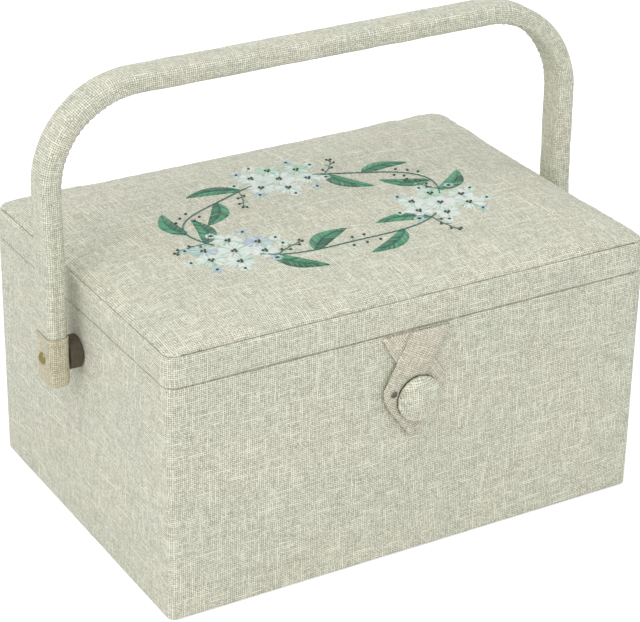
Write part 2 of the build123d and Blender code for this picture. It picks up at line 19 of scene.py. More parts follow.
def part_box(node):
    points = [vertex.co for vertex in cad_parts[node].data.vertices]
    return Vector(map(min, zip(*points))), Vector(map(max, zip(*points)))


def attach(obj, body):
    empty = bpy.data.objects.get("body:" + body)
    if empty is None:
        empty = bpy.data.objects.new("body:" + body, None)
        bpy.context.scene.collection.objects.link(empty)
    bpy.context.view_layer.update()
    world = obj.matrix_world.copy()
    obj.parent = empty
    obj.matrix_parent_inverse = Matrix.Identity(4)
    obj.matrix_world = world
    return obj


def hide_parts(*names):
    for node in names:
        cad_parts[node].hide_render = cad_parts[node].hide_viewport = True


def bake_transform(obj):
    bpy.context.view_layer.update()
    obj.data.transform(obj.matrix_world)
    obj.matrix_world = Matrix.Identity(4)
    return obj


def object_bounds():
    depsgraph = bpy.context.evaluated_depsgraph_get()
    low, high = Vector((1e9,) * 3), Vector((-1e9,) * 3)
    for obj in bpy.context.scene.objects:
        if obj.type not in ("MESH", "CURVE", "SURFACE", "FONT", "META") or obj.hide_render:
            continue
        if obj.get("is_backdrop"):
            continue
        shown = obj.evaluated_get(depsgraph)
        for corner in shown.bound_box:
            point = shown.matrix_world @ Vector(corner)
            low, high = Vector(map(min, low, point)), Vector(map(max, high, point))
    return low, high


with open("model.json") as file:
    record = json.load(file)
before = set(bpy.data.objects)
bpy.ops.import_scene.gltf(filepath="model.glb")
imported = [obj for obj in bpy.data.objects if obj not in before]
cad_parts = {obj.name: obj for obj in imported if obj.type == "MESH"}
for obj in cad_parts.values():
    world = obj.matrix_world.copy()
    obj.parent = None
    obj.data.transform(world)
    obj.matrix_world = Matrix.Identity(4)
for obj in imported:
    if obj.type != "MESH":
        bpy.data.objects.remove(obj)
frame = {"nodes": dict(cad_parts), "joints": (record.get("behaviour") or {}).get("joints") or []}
cad_low, cad_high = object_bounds()
mm = 0.001
body_low, body_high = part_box("body_cover")
band_low, band_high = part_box("lid_band_cover")
top_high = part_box("lid_top_cover")[1]
print("box body %.0f by %.0f by %.0f mm" % tuple(v / mm for v in body_high - body_low))

# %% [markdown]
# Cloth looks right when its threads run where a tailor would lay them. So every cloth piece is a grid of
# points, and each face corner remembers its place on the flat cloth in an attribute named cloth. The
# material reads that attribute, so the weave bends with the piece. An unwrapped image would need a picture
# file, and a weave cut out of space would slide through the folds.

# %% A piece of cloth from a grid of points
def mesh_object(name, points, faces, flat):
    """A smooth mesh whose face corners know their place on the flat cloth."""
    mesh = bpy.data.meshes.new(name)
    mesh.from_pydata([tuple(p) for p in points], [], faces)
    place = mesh.attributes.new("cloth", "FLOAT_VECTOR", "CORNER")
    place.data.foreach_set("vector", np.c_[flat, np.zeros(len(flat))].astype(np.float32).ravel())
    mesh.polygons.foreach_set("use_smooth", [True] * len(mesh.polygons))
    obj = bpy.data.objects.new(name, mesh)
    bpy.context.scene.collection.objects.link(obj)
    return obj


def grid_object(name, points, cloth, round_u=False, round_v=False):
    """A mesh from a grid of points. A grid that closes on itself has one more row of cloth than of points."""
    n, m = points.shape[:2]
    rows = np.arange(n if round_u else n - 1)
    columns = np.arange(m if round_v else m - 1)
    i, j = (a.ravel() for a in np.meshgrid(rows, columns, indexing="ij"))
    around = ((i, j), (i + 1, j), (i + 1, j + 1), (i, j + 1))
    faces = np.stack([(a % n) * m + b % m for a, b in around], axis=1)
    flat = np.stack([cloth[a, b] for a, b in around], axis=1).reshape(-1, 2)
    return mesh_object(name, points.reshape(-1, 3), faces.tolist(), flat)


def cloth_object(name, points, faces, cloth):
    """A mesh from points that each have one place on the flat cloth."""
    corners = [k for face in faces for k in face]
    return mesh_object(name, points, faces, np.array(cloth)[corners])


# %% Joining, freezing and thickening a mesh
def tidy_mesh(obj, join=0.00002, face_out=True):
    """Joins doubled points, drops faces without area and turns all faces outwards."""
    mesh = bmesh.new()
    mesh.from_mesh(obj.data)
    bmesh.ops.remove_doubles(mesh, verts=mesh.verts, dist=join)
    bmesh.ops.dissolve_degenerate(mesh, dist=join / 2, edges=mesh.edges)
    if face_out:
        bmesh.ops.recalc_face_normals(mesh, faces=mesh.faces)
    mesh.to_mesh(obj.data)
    mesh.free()
    return obj


def frozen(obj):
    """Replaces the mesh by what its modifiers make of it."""
    graph = bpy.context.evaluated_depsgraph_get()
    made = bpy.data.meshes.new_from_object(obj.evaluated_get(graph), preserve_all_data_layers=True,
                                           depsgraph=graph)
    obj.modifiers.clear()
    obj.data = made
    return obj


def thicken(obj, thickness):
    """Gives a sheet its thickness, half to each side."""
    solid = obj.modifiers.new("thickness", "SOLIDIFY")
    solid.thickness = thickness
    solid.offset = 0
    solid.use_even_offset = True
    return frozen(obj)


# %% Small unevenness, and what a piece measures
def soft_noise(point, size, seed=0.0):
    """A smooth random number from -1 to 1 that changes over the given length."""
    return noise.noise(Vector(point) / size + Vector((seed, seed * 1.7, seed * 0.3)))


def soft_step(share):
    """A share that eases in and out."""
    share = min(1.0, max(0.0, share))
    return share * share * (3 - 2 * share)


def rippled(points, outward, amount, size, seed=0.0):
    """Moves a grid of points along its outward directions by a small smooth noise."""
    flat, out = points.reshape(-1, 3), outward.reshape(-1, 3)
    shift = np.array([soft_noise(p, size, seed) for p in flat]) * amount
    return (flat + out * shift[:, None]).reshape(points.shape)


def flat_size(obj):
    """Width and length of a piece's flat cloth."""
    flat = np.zeros(len(obj.data.loops) * 3)
    obj.data.attributes["cloth"].data.foreach_get("vector", flat)
    return tuple(float(v) for v in np.ptp(flat.reshape(-1, 3), axis=0)[:2])


def tell(*pieces):
    """Prints how many faces pieces have and how large they are."""
    for piece in pieces:
        size = tuple(s / mm for s in piece.dimensions)
        print(piece.name + ":", len(piece.data.polygons), "faces, %.0f by %.0f by %.0f mm" % size)


# %% [markdown]
# Linen on the real box is a coarse plain weave. Some threads are thicker and paler for a few centimetres,
# which is what slub means, and the dyed yarn drifts from green to pink over the width of a hand. A plain
# weave is easy to write down: number the threads both ways, and let the one on top change from square to
# square like a chessboard. The group below does that and gives out a colour, a height and a roughness, so
# that the box, the handle and the tab can share it with other values.

# %% Nodes for numbers, colours and noise
def value_node(tree, operation, *inputs, clamp=False):
    """One math node. A number becomes a value on the socket, anything else is linked."""
    node = tree.nodes.new("ShaderNodeMath")
    node.operation = operation
    node.use_clamp = clamp
    for socket, given in zip(node.inputs, inputs):
        if isinstance(given, (int, float)):
            socket.default_value = given
        else:
            tree.links.new(given, socket)
    return node.outputs[0]


def mix_node(tree, factor, first, second, blend="MIX"):
    """Mixes two colours. Each input is a number, a colour or a socket."""
    node = tree.nodes.new("ShaderNodeMix")
    node.data_type = "RGBA"
    node.blend_type = blend
    sockets = (node.inputs[0], node.inputs[6], node.inputs[7])
    for socket, given in zip(sockets, (factor, first, second)):
        if isinstance(given, bpy.types.NodeSocket):
            tree.links.new(given, socket)
        else:
            socket.default_value = given if isinstance(given, (int, float)) else (*given, 1.0)
    return node.outputs[2]


def noise_node(tree, vector, scale, detail=2.0, rough=0.5):
    """A noise texture from 0 to 1 over the given coordinates."""
    node = tree.nodes.new("ShaderNodeTexNoise")
    node.inputs["Scale"].default_value = scale
    node.inputs["Detail"].default_value = detail
    node.inputs["Roughness"].default_value = rough
    tree.links.new(vector, node.inputs["Vector"])
    return node.outputs["Fac"]


def range_node(tree, given, low, high):
    """Maps a range of values to 0 to 1, with soft ends."""
    node = tree.nodes.new("ShaderNodeMapRange")
    node.interpolation_type = "SMOOTHSTEP"
    for socket, number in zip(node.inputs[1:3], (low, high)):
        socket.default_value = number
    tree.links.new(given, node.inputs[0])
    return node.outputs[0]


def vector_node(tree, x, y, z):
    """A vector from three numbers or sockets."""
    node = tree.nodes.new("ShaderNodeCombineXYZ")
    for socket, given in zip(node.inputs, (x, y, z)):
        if isinstance(given, (int, float)):
            socket.default_value = given
        else:
            tree.links.new(given, socket)
    return node.outputs[0]


def parts_node(tree, vector):
    """The three numbers of a vector."""
    node = tree.nodes.new("ShaderNodeSeparateXYZ")
    tree.links.new(vector, node.inputs[0])
    return node.outputs


# %% Groups and colours
def new_group(name, inputs, outputs):
    """A node group with named sockets. Each input gives its kind and its first value."""
    tree = bpy.data.node_groups.new(name, "ShaderNodeTree")
    kinds = {"value": "NodeSocketFloat", "colour": "NodeSocketColor", "vector": "NodeSocketVector"}
    for socket_name, kind, first in inputs:
        socket = tree.interface.new_socket(socket_name, in_out="INPUT", socket_type=kinds[kind])
        if kind != "vector":
            socket.default_value = (*first, 1.0) if kind == "colour" else first
    for socket_name, kind in outputs:
        tree.interface.new_socket(socket_name, in_out="OUTPUT", socket_type=kinds[kind])
    return tree, tree.nodes.new("NodeGroupInput"), tree.nodes.new("NodeGroupOutput")


def srgb(red, green, blue):
    """A colour as it is named on a screen, from 0 to 255, in the linear values that nodes use."""
    shares = (c / 255 for c in (red, green, blue))
    return tuple(s / 12.92 if s <= 0.04045 else ((s + 0.055) / 1.055) ** 2.4 for s in shares)


# %% The linen weave
thread = 1.25 * mm            # from one thread to the next


def dice_node(tree, vector):
    """A random number from 0 to 1 for each whole-numbered place."""
    node = tree.nodes.new("ShaderNodeTexWhiteNoise")
    tree.links.new(vector, node.inputs["Vector"])
    return node.outputs["Value"]


def make_linen_weave():
    """Plain weave: threads one way over threads the other way, with slubs and a drift of colour."""
    # The dark colour is painted shade in the holes and between the threads, and the pale one is a lit thread
    # crown.
    tree, given, out = new_group(
        "linen_weave",
        [("Cloth", "vector", None), ("Thread", "value", thread), ("Slub", "value", 1.0),
         ("Light", "colour", srgb(247, 246, 234)), ("Deep", "colour", srgb(104, 103, 84)),
         ("Green", "colour", srgb(203, 207, 188)), ("Rose", "colour", srgb(212, 209, 193))],
        [("Color", "colour"), ("Height", "value"), ("Roughness", "value")])
    cloth = given.outputs["Cloth"]
    # The cloth is measured in threads, and a slow noise lets the threads wander a little.
    scale = tree.nodes.new("ShaderNodeVectorMath")
    scale.operation = "SCALE"
    tree.links.new(cloth, scale.inputs[0])
    tree.links.new(value_node(tree, "DIVIDE", 1.0, given.outputs["Thread"]), scale.inputs["Scale"])
    apart = parts_node(tree, scale.outputs[0])
    drift_u = noise_node(tree, scale.outputs[0], 0.11, 2.0)
    turned = vector_node(tree, apart[1], apart[0], 7.0)
    drift_v = noise_node(tree, turned, 0.11, 2.0)
    u = value_node(tree, "MULTIPLY_ADD", drift_u, 1.3, apart[0])
    v = value_node(tree, "MULTIPLY_ADD", drift_v, 1.3, apart[1])
    # Each thread gets its number, and the one on top changes from square to square.
    warp, weft = value_node(tree, "FLOOR", u), value_node(tree, "FLOOR", v)
    round_u = value_node(tree, "SINE", value_node(tree, "MULTIPLY", value_node(tree, "FRACT", u), math.pi))
    round_v = value_node(tree, "SINE", value_node(tree, "MULTIPLY", value_node(tree, "FRACT", v), math.pi))
    square = value_node(tree, "FLOORED_MODULO", value_node(tree, "ADD", warp, weft), 2.0)
    straight = value_node(tree, "SUBTRACT", 1.0, square)

    def along(index, walk, step, rate, seed):
        """A number for each thread that changes slowly along it."""
        spot = vector_node(tree, value_node(tree, "MULTIPLY", index, step),
                           value_node(tree, "MULTIPLY", walk, rate), seed)
        return noise_node(tree, spot, 1.0, 1.0)

    def pick(first, second):
        """The first value where the warp is on top, the second where the weft is."""
        other = value_node(tree, "MULTIPLY", second, square)
        return value_node(tree, "ADD", value_node(tree, "MULTIPLY", first, straight), other)

    # Every thread has its own tone, and slubs are stretches of it that are thicker and paler.
    tone = pick(along(warp, v, 7.31, 0.09, 1.0), along(weft, u, 7.31, 0.09, 4.0))
    slub_u = range_node(tree, along(warp, v, 3.77, 0.05, 9.0), 0.62, 0.72)
    slub_v = range_node(tree, along(weft, u, 3.77, 0.05, 15.0), 0.62, 0.72)
    crown = pick(value_node(tree, "MULTIPLY", round_u, value_node(tree, "MULTIPLY_ADD", round_v, 0.5, 0.5)),
                 value_node(tree, "MULTIPLY", round_v, value_node(tree, "MULTIPLY_ADD", round_u, 0.5, 0.5)))
    slub_any = value_node(tree, "MAXIMUM", value_node(tree, "MULTIPLY", slub_u, round_u),
                          value_node(tree, "MULTIPLY", slub_v, round_v))
    slub = value_node(tree, "MULTIPLY", slub_any, given.outputs["Slub"])
    fibre = noise_node(tree, scale.outputs[0], 2.6, 2.0, 0.7)
    crossing = dice_node(tree, vector_node(tree, warp, weft, 3.0))
    # Where four threads meet there is a small hole, darkened with painted shade,
    # larger in some places than in others.
    gap = value_node(tree, "MULTIPLY", value_node(tree, "SUBTRACT", 1.0, round_u),
                     value_node(tree, "SUBTRACT", 1.0, round_v))
    corner_u = value_node(tree, "ROUND", u)
    corner_v = value_node(tree, "ROUND", v)
    hole_size = dice_node(tree, vector_node(tree, corner_u, corner_v, 8.0))
    pinhole_shade = value_node(tree, "MULTIPLY", gap, value_node(tree, "ADD", hole_size, 0.70))
    hole = range_node(tree, pinhole_shade, 0.30, 0.90)
    # The crowns of the threads get painted light, and the slubs get their own paler tone.
    crown_light_and_slub = value_node(tree, "ADD", value_node(tree, "MULTIPLY", crown, 0.40),
                      value_node(tree, "MULTIPLY", slub, 0.45))
    # All of that adds up to how light a spot is: the threads' own tones and slubs,
    # with painted light on the thread crowns and painted shade in the holes.
    light = value_node(tree, "ADD", crown_light_and_slub, value_node(tree, "MULTIPLY_ADD", tone, 0.70, -0.13))
    light = value_node(tree, "MULTIPLY_ADD", crossing, 0.26, light)
    light = value_node(tree, "MULTIPLY_ADD", straight, 0.05, light)
    light = value_node(tree, "MULTIPLY_ADD", fibre, 0.25, light)
    light = value_node(tree, "MULTIPLY_ADD", hole, -0.95, light, clamp=True)
    # Dark spots take the painted shade colour, and lit thread crowns take the pale one.
    colour = mix_node(tree, light, given.outputs["Deep"], given.outputs["Light"])
    # The dye drifts between two hues, over the whole cloth and not thread by thread.
    drift = noise_node(tree, cloth, 22.0, 3.0, 0.55)
    tint = mix_node(tree, range_node(tree, drift, 0.36, 0.64), given.outputs["Green"], given.outputs["Rose"])
    tinted = mix_node(tree, 0.55, colour, tint, "MULTIPLY")
    bright = mix_node(tree, 1.0, tinted, (1.07, 1.07, 1.07), "MULTIPLY")
    tree.links.new(bright, out.inputs["Color"])
    height = value_node(tree, "MULTIPLY_ADD", fibre, 0.12, crown_light_and_slub)
    tree.links.new(value_node(tree, "MULTIPLY_ADD", hole, -0.4, height), out.inputs["Height"])
    tree.links.new(value_node(tree, "MULTIPLY_ADD", fibre, 0.15, 0.78), out.inputs["Roughness"])
    return tree


linen_weave = make_linen_weave()
print("linen weave:", len(linen_weave.nodes), "nodes, a thread every %.2f mm" % (thread / mm))


# %% [markdown]
# A material holds the Principled shader and places the shared group in front of it. The height goes through
# a Bump node, with a distance of about a quarter of a thread, so that the light sees the weave. Linen has a
# thin halo of loose fibres, and the shader's sheen stands for that.

# %% A material from a shared group
def new_material(name, settings):
    """A material with settings on its shader, and with its node tree and shader for further links."""
    material = bpy.data.materials.new(name)
    material.use_nodes = True
    shader = material.node_tree.nodes["Principled BSDF"]
    for socket_name, given in settings.items():
        shader.inputs[socket_name].default_value = given
    return material, material.node_tree, shader


def flat_place(tree):
    """The place on the flat cloth, which each cloth piece carries."""
    node = tree.nodes.new("ShaderNodeAttribute")
    node.attribute_name = "cloth"
    return node.outputs["Vector"]


def object_place(tree):
    """The place in the box's own frame, for pieces cut from solid stuff."""
    return tree.nodes.new("ShaderNodeTexCoord").outputs["Object"]


def group_material(name, group, place, relief, settings, **values):
    """A material whose colour, roughness and relief come from a shared group with its own values."""
    material, tree, shader = new_material(name, settings)
    made = tree.nodes.new("ShaderNodeGroup")
    made.node_tree = group
    for socket_name, given in values.items():
        made.inputs[socket_name].default_value = given if isinstance(given, (int, float)) else (*given, 1.0)
    tree.links.new(place(tree), made.inputs[0])
    tree.links.new(made.outputs["Color"], shader.inputs["Base Color"])
    tree.links.new(made.outputs["Roughness"], shader.inputs["Roughness"])
    bump = tree.nodes.new("ShaderNodeBump")
    bump.inputs["Strength"].default_value = 1.0
    bump.inputs["Distance"].default_value = relief
    tree.links.new(made.outputs["Height"], bump.inputs["Height"])
    tree.links.new(bump.outputs[0], shader.inputs["Normal"])
    return material


# %% Linen materials
linen_finish = {"Sheen Weight": 0.12, "Sheen Roughness": 0.6, "Specular IOR Level": 0.25}


def linen_material(name, slub=1.0, **colours):
    """Linen with strong or weak slubs, in the dye of one piece."""
    return group_material(name, linen_weave, flat_place, 0.30 * mm, linen_finish, Slub=slub, **colours)


box_linen = linen_material("box_linen")
handle_linen = linen_material("handle_linen", slub=0.5)
cap_linen = linen_material("cap_linen", slub=0.4, Light=srgb(238, 234, 214), Deep=srgb(124, 118, 96),
                           Green=srgb(198, 192, 168), Rose=srgb(206, 194, 170))
tab_linen = linen_material("tab_linen", slub=0.6, Light=srgb(244, 240, 228),
                           Green=srgb(205, 204, 184), Rose=srgb(213, 205, 188))
print("linen materials:", box_linen.name, handle_linen.name, cap_linen.name, tab_linen.name)

# %% Finishing a piece
def dress(obj, material):
    """Gives an object one material."""
    obj.data.materials.clear()
    obj.data.materials.append(material)
    return obj


def settle(piece, material, body, slot, *nodes):
    """Says what a piece is made of, which body it moves with and which nodes it stands for."""
    dress(piece, material)
    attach(piece, body)
    if nodes:
        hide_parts(*nodes)
    tell(piece)


# %% [markdown]
# The stiff pieces are board, metal and moulded plastic. Up close none of them is plain: board has fibres and
# flecks, metal has fine scratches, and a moulded face has a slight grain and dull spots where it is handled.
# One group serves them all. It mixes a coarse and a fine noise, stretched along one direction if wanted, and
# each material sets how large, how strong and how long the grain is.

# %% The grain of stiff pieces
def make_stiff_grain():
    """Colour, height and roughness of a stiff surface with a fine grain and larger dull spots."""
    tree, given, out = new_group(
        "stiff_grain",
        [("Place", "vector", None), ("Grain", "value", 900.0), ("Stretch", "value", 1.0),
         ("Spots", "value", 60.0), ("Base", "colour", (0.5, 0.5, 0.5)), ("Fleck", "colour", (0.4, 0.4, 0.4)),
         ("Contrast", "value", 0.5), ("Smooth", "value", 0.4), ("Rough", "value", 0.6)],
        [("Color", "colour"), ("Height", "value"), ("Roughness", "value")])
    apart = parts_node(tree, given.outputs["Place"])
    drawn = vector_node(tree, value_node(tree, "DIVIDE", apart[0], given.outputs["Stretch"]),
                        apart[1], apart[2])
    fine = noise_node(tree, drawn, 1.0, 3.0, 0.6)
    tree.links.new(given.outputs["Grain"], fine.node.inputs["Scale"])
    spots = noise_node(tree, given.outputs["Place"], 1.0, 2.0, 0.5)
    tree.links.new(given.outputs["Spots"], spots.node.inputs["Scale"])
    fleck = range_node(tree, fine, 0.42, 0.66)
    mottle = value_node(tree, "MULTIPLY_ADD", spots, 0.6, value_node(tree, "MULTIPLY", fleck, 0.7))
    share = value_node(tree, "MULTIPLY", mottle, given.outputs["Contrast"], clamp=True)
    tree.links.new(mix_node(tree, share, given.outputs["Base"], given.outputs["Fleck"]), out.inputs["Color"])
    tree.links.new(fine, out.inputs["Height"])
    wear = value_node(tree, "MULTIPLY_ADD", spots, 0.7, value_node(tree, "MULTIPLY", fine, 0.3))
    dull = range_node(tree, wear, 0.35, 0.65)
    span = value_node(tree, "SUBTRACT", given.outputs["Rough"], given.outputs["Smooth"])
    rough = value_node(tree, "MULTIPLY_ADD", dull, span, given.outputs["Smooth"])
    tree.links.new(rough, out.inputs["Roughness"])
    return tree


stiff_grain = make_stiff_grain()
print("stiff grain:", len(stiff_grain.nodes), "nodes")


# %% Materials of board, metal and plastic
def stiff_material(name, base, fleck, contrast, relief, metal=0.0, **values):
    """A material of a stiff piece, with its colour, roughness and relief from the shared grain."""
    return group_material(name, stiff_grain, object_place, relief, {"Metallic": metal}, Base=base,
                          Fleck=fleck, Contrast=contrast, **values)


greyboard = stiff_material("greyboard", srgb(160, 152, 140), srgb(112, 104, 92), 0.7, 0.15 * mm, Grain=700.0,
                           Stretch=3.0, Spots=90.0, Smooth=0.85, Rough=0.98)
brass = stiff_material("brass", srgb(158, 148, 92), srgb(98, 88, 46), 0.55, 0.03 * mm, metal=1.0,
                       Grain=1600.0, Stretch=5.0, Spots=500.0, Smooth=0.22, Rough=0.48)
steel = stiff_material("steel", srgb(190, 192, 194), srgb(130, 131, 132), 0.4, 0.03 * mm, metal=1.0,
                       Grain=1500.0, Stretch=7.0, Spots=300.0, Smooth=0.28, Rough=0.5)
tray_plastic = stiff_material("tray_plastic", srgb(236, 236, 230), srgb(218, 217, 208), 0.5, 0.05 * mm,
                              Grain=800.0, Spots=40.0, Smooth=0.30, Rough=0.48)
core_plastic = stiff_material("core_plastic", srgb(58, 58, 60), srgb(34, 34, 36), 0.6, 0.05 * mm, Grain=900.0,
                              Spots=120.0, Smooth=0.5, Rough=0.75)
# The spacer's dark brown is partly its own colour and partly painted shade, for the leg's shadow on it.
spacer_plastic = stiff_material("spacer_plastic", srgb(84, 76, 58), srgb(52, 46, 34), 0.6, 0.05 * mm,
                                Grain=1100.0, Spots=200.0, Smooth=0.5, Rough=0.8)

# %% Stiff pieces get their materials
walls = ("front", "back", "left", "right")
ends = ("left", "right")
carried = {greyboard: ["base_board", *[f"{wall}_board" for wall in walls], "lid_board",
                       *[f"lid_frame_{wall}" for wall in walls], "lid_pad_card"],
           brass: [f"pivot_rivet_{end}" for end in ends],
           steel: [*[f"pivot_washer_{end}" for end in ends], "button_stem", "button_washer"],
           tray_plastic: ["tray", *[f"tray_divider_{end}" for end in ends]],
           core_plastic: ["button_core"],
           spacer_plastic: [f"pivot_spacer_{end}" for end in ends]}
for material, nodes in carried.items():
    for node in nodes:
        for slot in frame["nodes"][node].material_slots:
            slot.material = material
    print(material.name, "on", ", ".join(nodes))

# %% [markdown]
# The linen of the body is one long strip glued round the boards. It turns over the rim to the inside and
# under the base, and board edges under it are never sharp. So the shape is a walk round the box, and at each
# step a profile that starts inside the rim, goes over it, down the wall and under. A bevelled block could
# have the same outline, but it would have no cloth to lay threads on.

# %% The walk round a box
def walk_round(half_x, half_y, radius, step=4 * mm, corner_steps=8):
    """Points, outward directions, corner centres and walked length, from the middle of the back."""
    spots, outward, centres = [], [], []

    def straight(start, end, direction):
        """One wall, without the point at its end."""
        count = max(2, round((Vector(end) - Vector(start)).length / step))
        for k in range(count):
            share = k / count
            spots.append([a + (b - a) * share for a, b in zip(start, end)])
            outward.append(direction)
            centres.append(None)

    inner_x, inner_y = half_x - radius, half_y - radius
    corners = [(-1, 1, 90), (-1, -1, 180), (1, -1, 270), (1, 1, 0)]
    straights = [((0, half_y), (-inner_x, half_y), (0, 1)),
                 ((-half_x, inner_y), (-half_x, -inner_y), (-1, 0)),
                 ((-inner_x, -half_y), (inner_x, -half_y), (0, -1)),
                 ((half_x, -inner_y), (half_x, inner_y), (1, 0)),
                 ((inner_x, half_y), (0, half_y), (0, 1))]
    for run, corner in zip(straights, [*corners, None]):
        straight(*run)
        if corner:
            side_x, side_y, start = corner
            for k in range(corner_steps):
                turn = math.radians(start + 90 * k / corner_steps)
                out = (math.cos(turn), math.sin(turn))
                spots.append((side_x * inner_x + radius * out[0], side_y * inner_y + radius * out[1]))
                outward.append(out)
                centres.append((side_x * inner_x, side_y * inner_y, side_x, side_y))
    spots = np.array(spots)
    lengths = np.linalg.norm(np.roll(spots, -1, axis=0) - spots, axis=1)
    walked = np.r_[0, np.cumsum(lengths)]
    return spots, np.array(outward, float), centres, walked


# %% Cloth wrapped along the walk
def wrap(name, half_x, half_y, radius, profile, ripple=0.10 * mm, seed=1.0):
    """Cloth wrapped round a box. The profile is a list of (inset, height) points."""
    spots, outward, centres, walked = walk_round(half_x, half_y, radius)
    profile = np.array(profile, float)
    down = np.r_[0, np.cumsum(np.linalg.norm(np.diff(profile, axis=0), axis=1))]
    points = np.zeros((len(spots), len(profile), 3))
    out = np.zeros_like(points)
    for i, (spot, direction, centre) in enumerate(zip(spots, outward, centres)):
        for j, (inset, height) in enumerate(profile):
            # Further in than the corner's radius, the points of a corner lie on its diagonal.
            if centre and inset > radius:
                x, y = (centre[a] - centre[a + 2] * (inset - radius) for a in (0, 1))
            else:
                x, y = spot - direction * inset
                x = min(max(x, inset - half_x), half_x - inset)
                y = min(max(y, inset - half_y), half_y - inset)
            points[i, j] = (x, y, height)
            out[i, j, :2] = direction
    points = rippled(points, out, ripple, 30 * mm, seed)
    cloth = np.stack(np.meshgrid(walked, down, indexing="ij"), axis=-1)
    return grid_object(name, points, cloth, round_u=True)


def fold(inset, height, radius, start, end, steps=4):
    """An arc of a profile, from one direction to another in degrees, round a centre."""
    turns = [math.radians(start + (end - start) * k / steps) for k in range(steps + 1)]
    return [(inset - radius * math.cos(t), height + radius * math.sin(t)) for t in turns]


def climb(start, end, step=5 * mm):
    """Evenly spaced points between two points of a profile, without its ends."""
    (x0, z0), (x1, z1) = start, end
    count = max(1, round(math.hypot(x1 - x0, z1 - z0) / step))
    return [(x0 + (x1 - x0) * k / count, z0 + (z1 - z0) * k / count) for k in range(1, count)]


# %% Linen of the body
half_x, half_y = body_high.x, body_high.y
rim = body_high.z
corner = 5 * mm
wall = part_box("rim_lining")[1].x          # inside face of the boards
wall_stack = half_x - wall
linen = 0.8 * mm
rim_round = 1.9 * mm
base_round = 1.0 * mm
hem_inset = wall_stack + linen
rim_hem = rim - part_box("rim_lining")[1].z
sheet_low, sheet_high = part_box("base_sheet")
base_hem = half_x - sheet_high.x
inner_round = 0.7 * mm
rim_profile = [(hem_inset, rim - rim_hem + 0.2 * mm), (hem_inset, rim - rim_hem / 2),
               *fold(hem_inset - inner_round, rim - inner_round, inner_round, 180, 90),
               (wall_stack / 2, rim),
               *fold(rim_round, rim - rim_round, rim_round, 90, 0)]
base_profile = [*fold(base_round, base_round, base_round, 0, -90), (base_hem / 2, 0.0), (base_hem, 0.0),
                (base_hem, linen)]
body_profile = [*rim_profile, *climb(rim_profile[-1], base_profile[0]), *base_profile]
body_linen = wrap("body_linen", half_x, half_y, corner, body_profile)
tidy_mesh(body_linen, face_out=False)
settle(body_linen, box_linen, "box", "linen", "body_cover")
flat_size(body_linen)

# %% [markdown]
# The underside is closed by a second sheet, glued between the turned-in hems. It shows only when the box is
# turned over. A plain cube would do for its outline, but a grid can ripple by a hair, as glued cloth does.

# %% Sheet under the base
def flat_sheet(name, low, high, height, thickness, step=6 * mm):
    """A thin level sheet with its own thickness, on a grid."""
    xs = np.linspace(low.x, high.x, round((high.x - low.x) / step) + 1)
    ys = np.linspace(low.y, high.y, round((high.y - low.y) / step) + 1)
    x, y = np.meshgrid(xs, ys, indexing="ij")
    points = np.stack([x, y, np.full_like(x, height)], axis=-1)
    up = np.zeros_like(points)
    up[..., 2] = 1
    points = rippled(points, up, 0.05 * mm, 40 * mm, 3.0)
    return thicken(grid_object(name, points, np.stack([x, y], axis=-1)), thickness)


base_linen = flat_sheet("base_linen", sheet_low, sheet_high, linen / 2, linen - 0.1 * mm)
settle(base_linen, box_linen, "box", "linen", "base_sheet")
flat_size(base_linen)

# %% [markdown]
# The lid's band is covered like the body, by a strip that turns over the frame's edges. It is the same walk
# with another profile: up from the hem inside, round the lower edge, up the outside and over the card. Its
# round edges make the two dark lines of the closed box, one at the body and one at the padded top.

# %% Linen of the lid's band
lid_x, lid_y = band_high.x, band_high.y
band_bottom, band_top = band_low.z, band_high.z
lid_corner = 8 * mm
lid_hem = 12 * mm
lid_rim_hem = 8 * mm
band_round = 1.7 * mm
band_profile = [(hem_inset, band_bottom + lid_rim_hem),
                *fold(hem_inset - inner_round, band_bottom + inner_round, inner_round, 180, 270),
                (wall_stack / 2, band_bottom),
                *fold(band_round, band_bottom + band_round, band_round, -90, 0)]
band_over = [*fold(band_round, band_top - band_round, band_round, 0, 90), (lid_hem / 2, band_top),
             (lid_hem, band_top), (lid_hem, band_top - linen)]
band_profile += [*climb(band_profile[-1], band_over[0], 3 * mm), *band_over]
band_linen = wrap("band_linen", lid_x, lid_y, lid_corner, band_profile, seed=2.0)
tidy_mesh(band_linen, face_out=False)
settle(band_linen, box_linen, "lid", "linen", "lid_band_cover")
flat_size(band_linen)

# %% [markdown]
# The padded top is a sheet of linen drawn over foam and glued under a card. It leaves a thin seam, rises fast
# and is nearly flat in the middle. The sheet starts as such a dome, on a grid with rounded corners and a
# rolled edge. A subdivided cube could have that outline, but it would be too even. So a cloth simulation
# with some pressure under it swells the sheet against its fixed edge, and the cloth finds its own small
# unevenness. A cap on how far each point moves keeps the measured outline.

# %% Padded top before it swells
top_x, top_y = top_high.x, top_high.y
crown_top = top_high.z
crown_reach = 62 * mm         # from the seam to where the top is nearly flat
crown_power = 2.3             # how steeply it leaves the seam
edge_roll = 1.1 * mm          # radius of the rolled edge at the seam
seam_gap = 0.3 * mm
seam_draw = 0.9 * mm          # the sheet is drawn in this far behind the band
pad_step = 3.0 * mm
roll_turn, roll_steps = 150, 5
roll_walk = 2.6 * edge_roll   # cloth that goes into the roll
roll_fall = 1.87              # 1 minus the sine at the end of the roll
print("the padded top rises %.1f mm over the lid's band" % ((crown_top - band_top) / mm))


def crown_height(x, y):
    """Height of the padded top over a point: a low dome that starts at the seam."""
    low = band_top + seam_gap + 1.7 * edge_roll
    shares = (min(1.0, max(0.0, (half - abs(c)) / crown_reach)) for half, c in ((top_x, x), (top_y, y)))
    rise_x, rise_y = (1 - (1 - s) ** crown_power for s in shares)
    return low + (crown_top - 0.4 * mm - low) * rise_x * rise_y


